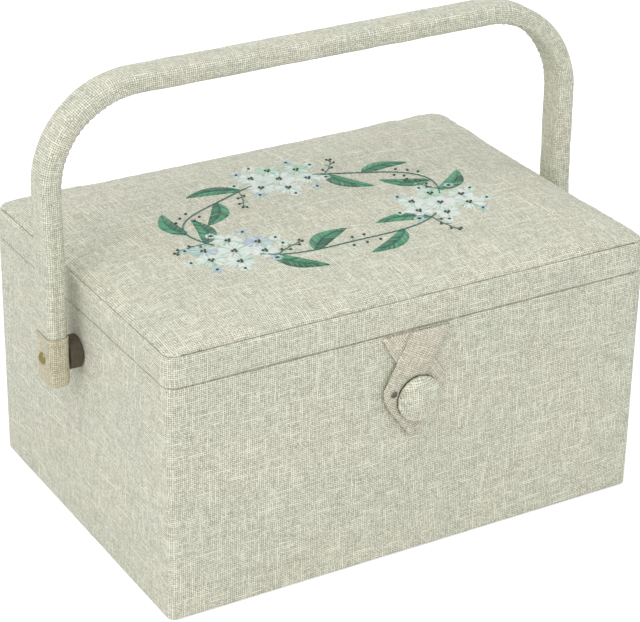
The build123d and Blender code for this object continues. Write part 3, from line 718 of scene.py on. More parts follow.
def rounded_square(x, y, half_w, half_d, radius):
    """Moves a point of a rectangle so that the rectangle's corners become round."""
    a = (abs(x) - (half_w - radius)) / radius
    b = (abs(y) - (half_d - radius)) / radius
    if a <= 0 or b <= 0:
        direction = (math.copysign(1, x), 0.0) if a > b else (0.0, math.copysign(1, y))
        return x, y, direction
    a_round, b_round = a * math.sqrt(1 - b * b / 2), b * math.sqrt(1 - a * a / 2)
    size = math.hypot(a_round, b_round)
    x_new = math.copysign(half_w - radius + radius * a_round, x)
    y_new = math.copysign(half_d - radius + radius * b_round, y)
    return x_new, y_new, (math.copysign(a_round / size, x), math.copysign(b_round / size, y))


# %% The padded top's grid
def pad_grid():
    """Points, flat places and faces of the dome, and its border in order, with the way outwards."""
    flat_x, flat_y = top_x - edge_roll - seam_draw, top_y - edge_roll - seam_draw
    radius = lid_corner - edge_roll - seam_draw
    count_x, count_y = round(2 * flat_x / pad_step), round(2 * flat_y / pad_step)
    points, cloth, border = [], [], []
    for i in range(count_x + 1):
        for j in range(count_y + 1):
            x = -flat_x + 2 * flat_x * i / count_x
            y = -flat_y + 2 * flat_y * j / count_y
            px, py, direction = rounded_square(x, y, flat_x, flat_y, radius)
            if i in (0, count_x) or j in (0, count_y):
                around = math.atan2(j / count_y - 0.5, i / count_x - 0.5)
                border.append((around, len(points), direction))
            points.append((px, py, crown_height(px, py)))
            cloth.append((px, py))
    index = {(i, j): i * (count_y + 1) + j for i in range(count_x + 1) for j in range(count_y + 1)}
    faces = [(index[i, j], index[i + 1, j], index[i + 1, j + 1], index[i, j + 1])
             for i in range(count_x) for j in range(count_y)]
    ring = [(base, direction) for _, base, direction in sorted(border, key=lambda b: b[0])]
    return points, cloth, faces, ring


# %% The padded top's rolled edge
def pad_mesh(name):
    """The padded top's sheet: the dome, and rings that roll its border down and inwards."""
    points, cloth, faces, ring = pad_grid()
    previous = [base for base, _ in ring]
    for k in range(1, roll_steps + 1):
        turn = math.radians(90 - roll_turn * k / roll_steps)
        current = []
        for base, direction in ring:
            bx, by, bz = points[base]
            out = edge_roll * math.cos(turn)
            down = (bz - band_top - seam_gap) * (1 - math.sin(turn)) / roll_fall
            current.append(len(points))
            points.append((bx + direction[0] * out, by + direction[1] * out, bz - down))
            walked = roll_walk * k / roll_steps
            cloth.append((bx + direction[0] * walked, by + direction[1] * walked))
        for a in range(len(ring)):
            b = (a + 1) % len(ring)
            faces.append((previous[a], current[a], current[b], previous[b]))
        previous = current
    return cloth_object(name, points, faces, cloth), previous


pad_linen, seam_points = pad_mesh("pad_linen")
tidy_mesh(pad_linen, join=0.000001)
print("padded top:", len(pad_linen.data.vertices), "points,", len(seam_points), "at the seam")

# %% Swelling the padded top
def swell(obj, keeps, cap, pressure=3.0, frames=20, slack=0.01, stiffness=12.0):
    """Runs a cloth simulation on the mesh, where keeps(point) holds points, and caps each move."""
    start = np.array([v.co for v in obj.data.vertices])
    held = obj.vertex_groups.new(name="held")
    held.add([k for k, p in enumerate(start) if keeps(p)], 1.0, "REPLACE")
    cloth = obj.modifiers.new("cloth", "CLOTH")
    settings = cloth.settings
    settings.quality = 6
    settings.mass = 0.3
    settings.tension_stiffness = stiffness
    settings.compression_stiffness = stiffness
    settings.shear_stiffness = 4.0
    settings.bending_stiffness = 0.4
    settings.shrink_min = -slack
    settings.use_pressure = True
    settings.uniform_pressure_force = pressure
    settings.effector_weights.gravity = 0
    settings.vertex_group_mass = "held"
    cloth.collision_settings.use_self_collision = False
    scene = bpy.context.scene
    # A simulation only moves when its frames are stepped through in order.
    for number in range(1, frames + 1):
        scene.frame_set(number)
    graph = bpy.context.evaluated_depsgraph_get()
    moved = np.array([v.co for v in obj.evaluated_get(graph).data.vertices])
    obj.modifiers.clear()
    obj.vertex_groups.clear()
    scene.frame_set(1)
    shift = moved - start
    size = np.linalg.norm(shift, axis=1)
    shift *= np.minimum(1, cap / np.maximum(size, 1e-9))[:, None]
    obj.data.vertices.foreach_set("co", (start + shift).astype(np.float32).ravel())
    obj.data.update()
    return size.max()


farthest = swell(pad_linen, lambda p: p[2] < band_top + 0.5 * mm, 1.2 * mm)
print("padded top swelled by up to %.2f mm before the cap" % (farthest / mm))
settle(pad_linen, box_linen, "lid", "linen", "lid_top_cover", "lid_pad")

# %% [markdown]
# The handle is a padded strip in a linen sleeve. The sleeve is made of an outer strip whose folded edges lie
# on the front and back faces, a little to the outer side of their middle. At each bend the cloth on the
# inner side is too long and gathers in small puckers. A curve with a bevel can't pucker. So a section is
# swept along the path, and it may change with its place on the path.

# %% The handle's path
handle_low, handle_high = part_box("handle_cover")
handle_thick, handle_broad = 12.2 * mm, handle_high.y - handle_low.y
cad_thick = 12 * mm
leg_x = handle_high.x - cad_thick / 2
pivot_z = (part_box("pivot_rivet_left")[0].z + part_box("pivot_rivet_left")[1].z) / 2
leg_low = handle_low.z
leg_draw = 0.95 * mm          # the dressed legs stand this much nearer to each other above the caps
# The bends, the bar's height and the lean are measured in the picture.
bend_left, bend_right = 55.9 * mm, 59.55 * mm
bar_left, bar_right = 280.31 * mm, 281.23 * mm
lean_x, lean_y, lean_at = -1.27 * mm, 1.56 * mm, 160 * mm
draw_start, draw_over = 26 * mm, 34 * mm


def leg_place(z):
    """How far a leg stands from the middle at a height."""
    return leg_x - leg_draw * soft_step((z - leg_low - draw_start) / draw_over)


def handle_path(low, step=2.5 * mm):
    """Points, outward directions and a share of bend along the handle, from the left leg's end."""
    def half(bend, bar, side):
        """One leg and its bend, from the foot upwards."""
        spots = []
        straight = bar - bend - low
        count = round(straight / step)
        for k in range(count):
            z = low + straight * k / count
            spots.append((side * leg_place(z), z, side, 0.0, 0.0))
        count = round(bend * math.pi / 2 / (0.7 * step))
        for k in range(count):
            turn = math.pi / 2 * k / count
            x = leg_x - leg_draw - bend + bend * math.cos(turn)
            spots.append((side * x, bar - bend + bend * math.sin(turn), side * math.cos(turn), math.sin(turn),
                          math.sin(2 * turn) ** 0.5))
        return spots

    left, right = half(bend_left, bar_left, -1), half(bend_right, bar_right, 1)
    start, end = -(leg_x - leg_draw - bend_left), leg_x - leg_draw - bend_right
    count = round((end - start) / step)
    bar = [(start + (end - start) * k / count, bar_left + (bar_right - bar_left) * k / count, 0.0, 1.0, 0.0)
           for k in range(count + 1)]
    return [*left, *bar, *reversed(right)]


def leaned(points):
    """The handle leans a little. The lean grows with the height over the rivets."""
    share = np.maximum(points[..., 2] - pivot_z, 0) / lean_at
    points[..., 0] += lean_x * share
    points[..., 1] += lean_y * share
    return points


def rounded_section(half_a, half_b, radius, around=48):
    """Points and outward directions of a rounded rectangle, evenly spaced, and the length walked."""
    spots, outward, _, walked = walk_round(half_a, half_b, radius, step=2 * (half_a + half_b) / around,
                                           corner_steps=6)
    return spots, outward, walked


def sweep_section(name, path, spots, outward, walked, shape):
    """A tube: the section at each place of the path, moved along its outward direction by shape()."""
    points = np.zeros((len(path), len(spots), 3))
    run = 0.0
    cloth = np.zeros((len(path), len(spots) + 1, 2))
    for i, (x, z, out_x, out_z, bent) in enumerate(path):
        if i:
            run += math.hypot(x - path[i - 1][0], z - path[i - 1][1])
        cloth[i, :, 0] = run
        cloth[i, :, 1] = walked
        for j, ((a, b), (da, db)) in enumerate(zip(spots, outward)):
            offset = shape(run, a, b, bent, (x, b, z))
            a2, b2 = a + da * offset, b + db * offset
            points[i, j] = (x + out_x * a2, b2, z + out_z * a2)
    return grid_object(name, leaned(points), cloth, round_v=True)


# %% Linen sleeve of the handle
hem_line = 1.2 * mm           # the folded edge lies this far to the outer side of the middle
hem_step = 0.35 * mm
pucker_step = 4.6 * mm
cap_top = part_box("handle_cap_left")[1].z
pucker_depth = 0.45 * mm
plump = 0.35 * mm


def sleeve_shape(run, a, b, bent, spot):
    """How far the sleeve stands off its plain section."""
    half_a, half_b = handle_thick / 2, handle_broad / 2
    full = plump * (1 - min(1, abs(b) / half_b) ** 2) * (1 - min(1, abs(a) / half_a) ** 6 * 0.2)
    outer = 1 / (1 + math.exp(-(a - hem_line) / (0.22 * mm)))
    inner = max(0.0, -a / half_a)
    pucker = bent * inner * pucker_depth * math.sin(2 * math.pi * run / pucker_step + 2 * b / half_b)
    lump = 0.28 * mm * soft_noise((run, a, b), 17 * mm, 5.0) + 0.12 * mm * soft_noise(spot, 6 * mm, 8.0)
    if spot[2] < cap_top + 0.5 * mm:
        return -0.55 * mm
    return full + hem_step * outer - hem_step / 2 + pucker + lump


def close_end(obj):
    """Fills the open end loops of a tube, so that its mesh is closed."""
    mesh = bmesh.new()
    mesh.from_mesh(obj.data)
    open_edges = [e for e in mesh.edges if e.is_boundary]
    bmesh.ops.holes_fill(mesh, edges=open_edges)
    mesh.to_mesh(obj.data)
    mesh.free()
    return obj


spots, outward, walked = rounded_section(handle_thick / 2, handle_broad / 2, 4 * mm)
path = handle_path(leg_low + 1 * mm)
sleeve = sweep_section("handle_sleeve", path, spots, outward, walked, sleeve_shape)
close_end(tidy_mesh(sleeve))
settle(sleeve, handle_linen, "handle", "handle_linen", "handle_cover", "handle_pad")
print("handle sleeve:", len(path), "sections of", len(spots), "points")

# %% [markdown]
# Inside the sleeve a flat strip carries the load. It follows the same path as the sleeve, so it is swept
# with the same function and a smaller section.

# %% Core of the handle
core_low, core_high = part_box("handle_core")
core_half = (1.5 * mm, core_high.y)
core_spots = rounded_section(*core_half, 0.6 * mm, around=16)
core_strip = sweep_section("core_strip", handle_path(core_low.z, 6 * mm), *core_spots, lambda *_: 0.0)
close_end(tidy_mesh(core_strip))
settle(core_strip, core_plastic, "handle", "core_plastic", "handle_core")

# %% [markdown]
# Each leg ends in a second, short sleeve: a cap with a round bottom whose upper edge is turned in and sewn
# level. It is made as rings that close at the bottom, and its upper rim rolls in to the leg. Rings carry the
# cloth from the start, while a rounded block would need its cloth laid on afterwards.

# %% End caps of the handle
cap_low, cap_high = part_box("handle_cap_left")
cap_cloth = 0.6 * mm
cap_round = 3 * mm
cap_rim = 0.5 * mm
cap_belly = 0.15 * mm


def cap_rings(half_a):
    """How far each ring of a cap stands off its section, and its height, from the rim to the bottom."""
    under_rim = cap_high.z - 1.2 * mm
    rings = [(-cap_rim - 0.5 * mm, cap_high.z - 0.6 * mm), (-0.35 * mm, cap_high.z - 0.05 * mm),
             (0.0, cap_high.z), (0.25 * mm, cap_high.z - 0.4 * mm), (0.2 * mm, under_rim)]
    tall = under_rim - (cap_low.z + cap_round)
    rings += [(cap_belly * math.sin(math.pi * k / 12), under_rim - tall * k / 12) for k in range(1, 12)]
    for k in range(6):
        turn = math.pi / 2 * k / 6
        rings.append((-cap_round * (1 - math.cos(turn)), cap_low.z + cap_round * (1 - math.sin(turn))))
    rings += [(-cap_round - (half_a - cap_round - 0.1 * mm) * k / 5, cap_low.z) for k in range(6)]
    return rings


def end_cap(name, side):
    """The cap of one leg, closed at its bottom."""
    half_a, half_b = cad_thick / 2 + cap_cloth, handle_broad / 2 + cap_cloth
    spots, outward, walked = rounded_section(half_a, half_b, 4.6 * mm)
    rings = cap_rings(half_a)
    points = np.zeros((len(spots), len(rings), 3))
    out = np.zeros_like(points)
    down = np.r_[0, np.cumsum([math.dist(a, b) for a, b in zip(rings, rings[1:])])]
    for i, ((a, b), (da, db)) in enumerate(zip(spots, outward)):
        for j, (offset, z) in enumerate(rings):
            shrink_a = max(0.0, (half_a + offset) / half_a)
            if offset < -cap_round:
                a2 = a * shrink_a
                b2 = math.copysign(max(0.0, abs(b) + offset), b)
            else:
                a2, b2 = a + da * offset, b + db * offset
            points[i, j] = (side * (leg_x + a2), b2, z)
            out[i, j] = (side * da, db, 0)
    points = rippled(points, out, 0.22 * mm, 9 * mm, 11.0 + side)
    cloth = np.stack(np.meshgrid(walked, down, indexing="ij"), axis=-1)
    obj = grid_object(name, points, cloth, round_u=True)
    return close_end(tidy_mesh(obj))


for side_name, side in (("left", -1), ("right", 1)):
    cap = end_cap(f"end_cap_{side_name}", side)
    settle(cap, cap_linen, "handle", "handle_linen", f"handle_cap_{side_name}")

# %% [markdown]
# The closing tab is one long tape, folded to two layers. One strand comes from the left of the lid's edge,
# the other lies over it, and both meet in a point under the button. Each strand is an outline with a hole for
# the button. It is filled, thickened and rounded, and its threads run along its own slant, because the tape
# was turned and not cut to shape.

# %% Outlines of the closing tab
tab_low, tab_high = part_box("tab_loop")
button_low, button_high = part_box("button_cover")
button = (button_low + button_high) / 2
tab_middle = (tab_low.x + tab_high.x) / 2
tab_top = band_bottom
tape = 1.3 * mm
hole_radius = (button_high.x - button_low.x) / 2 - 0.6 * mm


def tab_spot(half, drop):
    """A place on the tab, from its middle and its upper edge, in millimetres."""
    return tab_middle + half * mm, tab_top - drop * mm


lobe_side = [tab_spot(-21.3, 34.0), tab_spot(-21.3, 39.4), tab_spot(-18.4, 46.8), tab_spot(-2.6, 68.4)]
under_strand = [tab_spot(-23.2, 1.2), tab_spot(-12.7, 19.2), tab_spot(0.0, 41.0), tab_spot(0.0, 68.4),
                tab_spot(2.6, 68.4), tab_spot(18.4, 46.8), tab_spot(21.3, 39.4), tab_spot(21.3, 34.0),
                tab_spot(12.7, 19.2), tab_spot(4.0, 1.2)]
upper_strand = [tab_spot(-3.8, 1.2), *lobe_side, tab_spot(0.6, 68.6), tab_spot(0.6, 43.0),
                tab_spot(12.7, 19.2), tab_spot(23.2, 1.2)]
print("closing tab: %.0f by %.0f mm" % ((tab_high.x - tab_low.x) / mm, (tab_high.z - tab_low.z) / mm))


def rounded_outline(corners, radius, spacing=1.2 * mm):
    """A closed outline with each corner cut by a small arc, with evenly spaced points."""
    rounded = []
    for before, here, after in zip([corners[-1], *corners[:-1]], corners, [*corners[1:], corners[0]]):
        p, q, r = (Vector((*c, 0)).to_2d() for c in (before, here, after))
        reach = min(radius, (p - q).length / 2.2, (r - q).length / 2.2)
        a, b = q + (p - q).normalized() * reach, q + (r - q).normalized() * reach
        rounded += [a * (1 - t) ** 2 + q * 2 * t * (1 - t) + b * t * t for t in (0, 0.25, 0.5, 0.75, 1)]
    even = []
    for p, q in zip(rounded, [*rounded[1:], rounded[0]]):
        count = max(1, round((q - p).length / spacing))
        even += [p.lerp(q, k / count) for k in range(count)]
    return even


# %% How far a place is from a strand's edge
def edge_finder(outline, holes):
    """A function that gives a place's distance to the edge, above 0 inside, and the nearest point of it."""
    segments = np.array([[*p, *q] for p, q in zip(outline, [*outline[1:], outline[0]])])

    def inside(x, z):
        """Whether a place is inside: a line from there crosses the outline an odd number of times."""
        x1, z1, x2, z2 = segments.T
        level = (z1 > z) != (z2 > z)
        drop = np.where(z2 == z1, 1.0, z2 - z1)
        return bool((level & (x < (x2 - x1) * (z - z1) / drop + x1)).sum() % 2)

    def to_edge(x, z):
        """Distance to the outline or to a hole, whichever is nearer."""
        start, end = segments[:, :2], segments[:, 2:]
        run = end - start
        share = np.clip(((np.array((x, z)) - start) * run).sum(1) / (run**2).sum(1), 0, 1)
        near = start + run * share[:, None]
        away = np.hypot(near[:, 0] - x, near[:, 1] - z)
        k = int(away.argmin())
        distance = away[k] if inside(x, z) else -away[k]
        from_hole, hole = min((math.hypot(x - h[0], z - h[1]) - h[2], h) for h in holes)
        if from_hole < distance:
            cx, cz, radius = hole
            direction = Vector((x - cx, z - cz)).normalized()
            return from_hole, (cx + direction.x * radius, cz + direction.y * radius)
        return distance, tuple(near[k])

    return to_edge


# %% The grid of a strand
def strand_grid(outline, holes, step=0.7 * mm):
    """Points with their distance to the edge, and faces, of a grid cut to an outline with holes."""
    to_edge = edge_finder(outline, holes)
    low_x, high_x = min(p.x for p in outline), max(p.x for p in outline)
    low_z, high_z = min(p.y for p in outline), max(p.y for p in outline)
    # Points just off the edge are moved onto it, the others stay on their grid.
    index, points = {}, []
    for i, x in enumerate(np.arange(low_x - step, high_x + 2 * step, step)):
        for j, z in enumerate(np.arange(low_z - step, high_z + 2 * step, step)):
            distance, near = to_edge(x, z)
            if distance > -0.75 * step:
                on_edge = distance < 0.35 * step
                index[i, j] = len(points)
                points.append((*near, 0.0) if on_edge else (x, z, distance))
    faces = [(index[i, j], index[i + 1, j], index[i + 1, j + 1], index[i, j + 1])
             for i, j in index if all(k in index for k in ((i + 1, j), (i + 1, j + 1), (i, j + 1)))]
    used = sorted({k for f in faces for k in f})
    renumber = {k: n for n, k in enumerate(used)}
    return [points[k] for k in used], [tuple(renumber[k] for k in f) for f in faces]


# %% A strand as a soft slab
hem_in = 2.6 * mm             # the turned-in edge ends this far inside the outline
hem_ridge = 0.22 * mm
tuck_deep, tuck_drop = 1.6 * mm, 2.8 * mm
strand_edge = 1.1 * mm        # width of the rounded edge


def strand(name, corners, back, slant_start, slant_end, holes):
    """A strand of the tab. Its front swells, has a ridge over its hem and tucks in under the lid."""
    points, faces = strand_grid(rounded_outline(corners, 2.0 * mm), holes)
    along = (Vector(slant_end) - Vector(slant_start)).normalized()
    half = tape / 2
    front, behind, cloth = [], [], []
    for x, z, distance in points:
        share = min(1.0, distance / strand_edge)
        bulge = half * math.sqrt(max(0.0, 1 - (1 - share) ** 2))
        crown = 0.25 * mm * min(1.0, distance / (6 * mm))
        ridge = hem_ridge * math.exp(-((distance - hem_in) / (0.45 * mm)) ** 2)
        wave = 0.16 * mm * soft_noise((x, z, back), 7 * mm, 21.0)
        tuck = tuck_deep * soft_step((z - tab_top + tuck_drop) / tuck_drop)
        front.append((x, back - half - bulge - crown - ridge - wave * share + tuck, z))
        behind.append((x, back - half + bulge + tuck, z))
        cloth.append((x * along.y - z * along.x, x * along.x + z * along.y))
    shift = len(front)
    both = [*faces, *[tuple(k + shift for k in reversed(f)) for f in faces]]
    return tidy_mesh(cloth_object(name, [*front, *behind], both, cloth + cloth), join=0.00004)


# %% Both strands on their places
tab_holes = [(button.x, button.z, hole_radius), (button.x - 15.6 * mm, button.z + 5 * mm, 2.0 * mm)]
wall_side = body_low.y - 0.4 * mm
tab_under = strand("tab_under_strand", under_strand, wall_side, tab_spot(-18, 0), tab_spot(12, 42), tab_holes)
tab_upper = strand("tab_upper_strand", upper_strand, wall_side - tape, tab_spot(16, 0), tab_spot(-14, 50),
                   tab_holes)
settle(tab_under, tab_linen, "tab", "linen")
settle(tab_upper, tab_linen, "tab", "linen", "tab_loop")

# %% [markdown]
# The button is a shell covered with linen that is gathered behind it. From the front only the last of the
# gathers shows, as small dents in the edge. A flattened sphere would have an edge that is too even. So rings
# from the middle outwards follow the dome, and a cosine round the rim makes the dents.

# %% Covered button
button_gathers = 17
gather_deep = 0.16 * mm
dome_rings, rim_rings = 18, 4


def covered_button():
    """The button's linen: rings from the middle of the dome over the rim to its back."""
    radius = (button_high.x - button_low.x) / 2
    rim_back, dome_front = button_high.y, button_low.y
    rise = rim_back - dome_front
    rings = []
    for k in range(dome_rings + 1):
        turn = math.radians(90 * k / dome_rings)
        rings.append((radius * math.sin(turn) ** 0.9, rise * (0.30 + 0.70 * math.cos(turn) ** 0.8)))
    rings += [(radius + 0.05 * mm, rise * 0.2), (radius - 0.1 * mm, rise * 0.08), (radius - 0.9 * mm, 0.0),
              (radius * 0.5, 0.0), (0.3 * mm, 0.0)]
    around = 96
    points, cloth = np.zeros((around, len(rings), 3)), np.zeros((around + 1, len(rings), 2))
    for i in range(around + 1):
        turn = 2 * math.pi * i / around
        for j, (r, height) in enumerate(rings):
            near_rim = max(0.0, (r / radius - 0.82) / 0.18) * (1 if j < dome_rings + rim_rings else 0)
            dent = gather_deep * near_rim * (math.cos(button_gathers * turn + 1.3 * math.sin(3 * turn)))
            r2 = r + dent
            x, z = r2 * math.cos(turn), r2 * math.sin(turn)
            walked = r + (j - dome_rings) * 0.8 * mm
            cloth[i, j] = (x, z) if j < dome_rings else (walked * math.cos(turn), walked * math.sin(turn))
            if i < around:
                points[i, j] = (button.x + x, rim_back - height, button.z + z)
    obj = grid_object("button_linen", points, cloth, round_u=True)
    return close_end(tidy_mesh(obj))


button_linen = covered_button()
settle(button_linen, box_linen, "box", "linen", "button_cover")

# %% [markdown]
# Inside, the box is lined with ivory satin. Satin is smooth because most of its threads run one way, so it
# shines in streaks, and these streaks are painted as sheen into its colour. The ribbons and the elastic share
# it. Velvet is a pile of upright fibres, dark where one looks straight down into it and pale at a glancing
# angle, which is what the shader's sheen is for.

# %% The satin weave
def make_satin_weave():
    """Long smooth threads one way, with soft creases, and a colour with streaks and broad patches of painted
    sheen.
    """
    tree, given, out = new_group(
        "satin_weave",
        [("Cloth", "vector", None), ("Thread", "value", 0.35 * mm), ("Base", "colour", srgb(240, 235, 220)),
         ("Shade", "colour", srgb(222, 214, 192))],
        [("Color", "colour"), ("Height", "value"), ("Roughness", "value")])
    apart = parts_node(tree, given.outputs["Cloth"])
    across = value_node(tree, "DIVIDE", apart[0], given.outputs["Thread"])
    along = value_node(tree, "DIVIDE", apart[1], given.outputs["Thread"])
    drawn = vector_node(tree, across, value_node(tree, "MULTIPLY", along, 0.04), 2.0)
    streak = noise_node(tree, drawn, 1.0, 2.0)
    thread_wave = value_node(tree, "SINE", value_node(tree, "MULTIPLY", across, 2 * math.pi))
    cloud = noise_node(tree, given.outputs["Cloth"], 35.0, 2.0)
    # The colour runs from painted shade to painted sheen along the streaks and over broad patches.
    share = value_node(tree, "MULTIPLY_ADD", streak, 0.8, value_node(tree, "MULTIPLY_ADD", cloud, 0.6, -0.3))
    painted_shine = range_node(tree, share, 0.2, 0.7)
    tree.links.new(mix_node(tree, painted_shine, given.outputs["Shade"], given.outputs["Base"]), out.inputs["Color"])
    tree.links.new(value_node(tree, "MULTIPLY_ADD", thread_wave, 0.2, streak), out.inputs["Height"])
    tree.links.new(value_node(tree, "MULTIPLY_ADD", streak, 0.22, 0.28), out.inputs["Roughness"])
    return tree


satin_weave = make_satin_weave()
print("satin weave:", len(satin_weave.nodes), "nodes")

# %% Satin, ribbon and velvet
satin_finish = {"Sheen Weight": 0.25, "Sheen Roughness": 0.35}
velvet_finish = {"Sheen Weight": 0.8, "Sheen Roughness": 0.3, "Sheen Tint": (*srgb(170, 214, 196), 1.0)}
ivory_satin = group_material("ivory_satin", satin_weave, flat_place, 0.08 * mm, satin_finish)
ribbon_satin = group_material("ribbon_satin", satin_weave, flat_place, 0.08 * mm, satin_finish,
                              Thread=0.5 * mm, Base=srgb(222, 216, 192), Shade=srgb(188, 180, 150))
pin_velvet = group_material("pin_velvet", stiff_grain, object_place, 0.3 * mm, velvet_finish, Grain=2400.0,
                            Spots=120.0, Base=srgb(60, 112, 92), Fleck=srgb(30, 70, 56), Contrast=0.8,
                            Smooth=0.85, Rough=0.98)
print("inside the box:", ivory_satin.name, ribbon_satin.name, pin_velvet.name)

# %% [markdown]
# The lining of each wall is a card with thin wadding and satin over it. Such a panel has a flat back, soft
# edges and a slightly full face. Two grids make it: one for the back and one for the face, which rises from
# the same border. They are joined there, so the mesh is closed.

# %% A padded panel
def edge_samples(length, soft, step):
    """Places along a side: close together at both soft ends, evenly spaced between them."""
    ends = [soft * s for s in (0, 0.05, 0.18, 0.4, 0.7, 1.0)]
    count = max(2, round((length - 2 * soft) / step))
    middle = [soft + (length - 2 * soft) * k / count for k in range(1, count)]
    return np.array([*ends, *middle, *[length - e for e in reversed(ends)]])


def soft_edge(distance, soft):
    """Height of a rounded edge, from 0 at the border to 1 where the flat begins."""
    share = np.clip(distance / soft, 0, 1)
    return np.sqrt(1 - (1 - share) ** 2)


def padded_panel(name, start, across, along, out, size, thick, soft, extra=None, step=5 * mm):
    """A closed pad on a flat back. extra(u, v) adds to its height."""
    # The face and the back have the same border, so joining doubled points closes the pad.
    u, v = np.meshgrid(*(edge_samples(length, soft, step) for length in size), indexing="ij")
    edge = soft_edge(np.minimum(u, size[0] - u), soft) * soft_edge(np.minimum(v, size[1] - v), soft)
    rise = (thick + (extra(u, v) if extra else 0.0)) * edge
    start, across, along, out = (np.array(a, float) for a in (start, across, along, out))
    base = start + u[..., None] * across + v[..., None] * along
    face = base + rise[..., None] * out
    n, m = u.shape
    cells = [(i * m + j, (i + 1) * m + j, (i + 1) * m + j + 1, i * m + j + 1)
             for i in range(n - 1) for j in range(m - 1)]
    points = np.concatenate([face.reshape(-1, 3), base.reshape(-1, 3)])
    faces = [*cells, *[tuple(k + n * m for k in reversed(c)) for c in cells]]
    flat = np.stack([u, v], axis=-1).reshape(-1, 2)
    return tidy_mesh(cloth_object(name, points, faces, np.concatenate([flat, flat])), join=0.000002)


def creased(size, depth, seed):
    """A soft random height for a panel, larger near its upper edge, where the satin is drawn over."""
    def extra(u, v):
        """The creases over all points of the panel."""
        low = np.array([soft_noise((a, b, 0), 26 * mm, seed) for a, b in zip(u.ravel(), v.ravel())])
        fine = np.array([soft_noise((a, b * 0.3, 0), 7 * mm, seed + 3) for a, b in zip(u.ravel(), v.ravel())])
        near_top = np.clip(1 - (size[1] - v) / (22 * mm), 0, 1)
        return depth * (0.6 * low.reshape(u.shape) - 0.4 + 0.5 * near_top * fine.reshape(u.shape))
    return extra


def finish_panel(panel, body, node, material=ivory_satin, slot="satin"):
    """Finishes a panel that is stuffed."""
    settle(panel, material, body, slot, node)


# %% Lining of the walls and the floor
slack = 0.05 * mm             # a satin piece keeps this far from what it lies on
level_gap = 0.2 * mm
lining_soft = 3.5 * mm        # width of a panel's soft edge
# Each side with the axis and the way that it faces, and a seed for its creases.
sides = (("left", 0, 1, 32.0), ("right", 0, -1, 30.0), ("front", 1, 1, 42.0), ("back", 1, -1, 40.0))
for side, axis, way, seed in sides:
    low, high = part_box(f"lining_{side}")
    across, out = np.eye(3)[1 - axis], np.eye(3)[axis] * way
    size = (high[1 - axis] - low[1 - axis], high.z - low.z)
    start = list(low)
    start[axis] = low[axis] + slack if way > 0 else high[axis] - slack
    panel = padded_panel(f"lining_satin_{side}", start, across, (0, 0, 1), out, size,
                         high[axis] - low[axis] - 2 * slack, lining_soft, creased(size, 0.7 * mm, seed))
    finish_panel(panel, "box", f"lining_{side}")


def level_panel(name, node, way, soft, depth, seed):
    """A panel that lies level in the place of a node, with its face up or down."""
    low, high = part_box(node)
    size = (high.x - low.x - 2 * level_gap, high.y - low.y - 2 * level_gap)
    start = (low.x + level_gap, low.y + level_gap, low.z + slack if way > 0 else high.z - slack)
    return padded_panel(name, start, (1, 0, 0), (0, 1, 0), (0, 0, way), size, high.z - low.z - 2 * slack,
                        soft, creased(size, depth, seed))


floor_satin = level_panel("floor_satin", "floor_pad", 1, lining_soft, 0.6 * mm, 51.0)
finish_panel(floor_satin, "box", "floor_pad")

# %% [markdown]
# Above the lining a strip of satin runs round the rim, glued flat to the boards and tucked under the turned
# linen. It is the same kind of walk as the linen outside, only on the inner faces.

# %% Satin round the rim
strip_low, strip_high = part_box("rim_lining")
strip_thick = 0.3 * mm
strip_face = wall_stack + strip_thick
strip_ends = (strip_face, strip_high.z - 0.2 * mm), (strip_face, strip_low.z)
strip_profile = [(wall_stack + slack, strip_high.z), strip_ends[0], *climb(*strip_ends, 6 * mm),
                 strip_ends[1], (wall_stack + slack, strip_low.z)]
rim_satin = wrap("rim_satin", half_x, half_y, corner, strip_profile, ripple=0.08 * mm, seed=4.0)
tidy_mesh(rim_satin, face_out=False)
settle(rim_satin, ivory_satin, "box", "satin", "rim_lining")
flat_size(rim_satin)

# %% [markdown]
# The lid's own lining is a thin wadded card. Only its edge is soft, so it is the same panel function with a
# small thickness, facing down.

# %% Satin inside the lid
lid_satin = level_panel("lid_satin", "lid_lining", -1, 1.6 * mm, 0.25 * mm, 61.0)
finish_panel(lid_satin, "lid", "lid_lining")

# %% [markdown]
# The pocket in the lid is cut a quarter wider than the place it is sewn to. Its upper edge is drawn in by
# an elastic, so it hangs in soft folds that are deep at the mouth, shallow in the middle and pleated at the
# seam below. A sine along its width, pushed about by noise, gives the folds.

# %% Gathered pocket
pocket_low, pocket_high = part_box("lid_pocket")
elastic_low, elastic_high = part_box("pocket_elastic")
gathers = 27
fold_deep = 1.5 * mm
pocket_fullness = 1.25
pocket_cloth = 0.35 * mm


def pocket_points():
    """The pocket's cloth, which hangs in folds, and its places on the flat cloth."""
    across, down = gathers * 12, 30
    points = np.zeros((across + 1, down + 1, 3))
    cloth = np.zeros((across + 1, down + 1, 2))
    width, depth = pocket_high.x - pocket_low.x, pocket_high.y - pocket_low.y
    for i in range(across + 1):
        u = i / across
        at_side = math.sin(math.pi * u) ** 0.25 if 0 < u < 1 else 0.0
        for j in range(down + 1):
            v = j / down
            wander = 0.22 * soft_noise((u * 9, v * 2.2, 0), 1.0, 71.0)
            fold_size = fold_deep * (0.25 + 0.75 * abs(1 - 2 * v) ** 1.5) * min(1.0, (1.02 - v) * 6)
            folds = fold_size * 0.5 * (1 + math.sin(2 * math.pi * (gathers * u + 3 * wander)))
            belly = (1.2 * mm * (1 - v) + 2.6 * mm * math.sin(math.pi * v) ** 0.8) * at_side
            points[i, j] = (pocket_low.x + width * u, pocket_low.y + depth * v,
                            pocket_high.z - slack - 0.2 * mm - belly - folds * at_side)
            cloth[i, j] = (width * pocket_fullness * u, depth * v)
    return points, cloth


pocket = thicken(grid_object("pocket_satin", *pocket_points()), pocket_cloth)
tidy_mesh(pocket)
settle(pocket, ivory_satin, "lid", "satin", "lid_pocket")
flat_size(pocket)

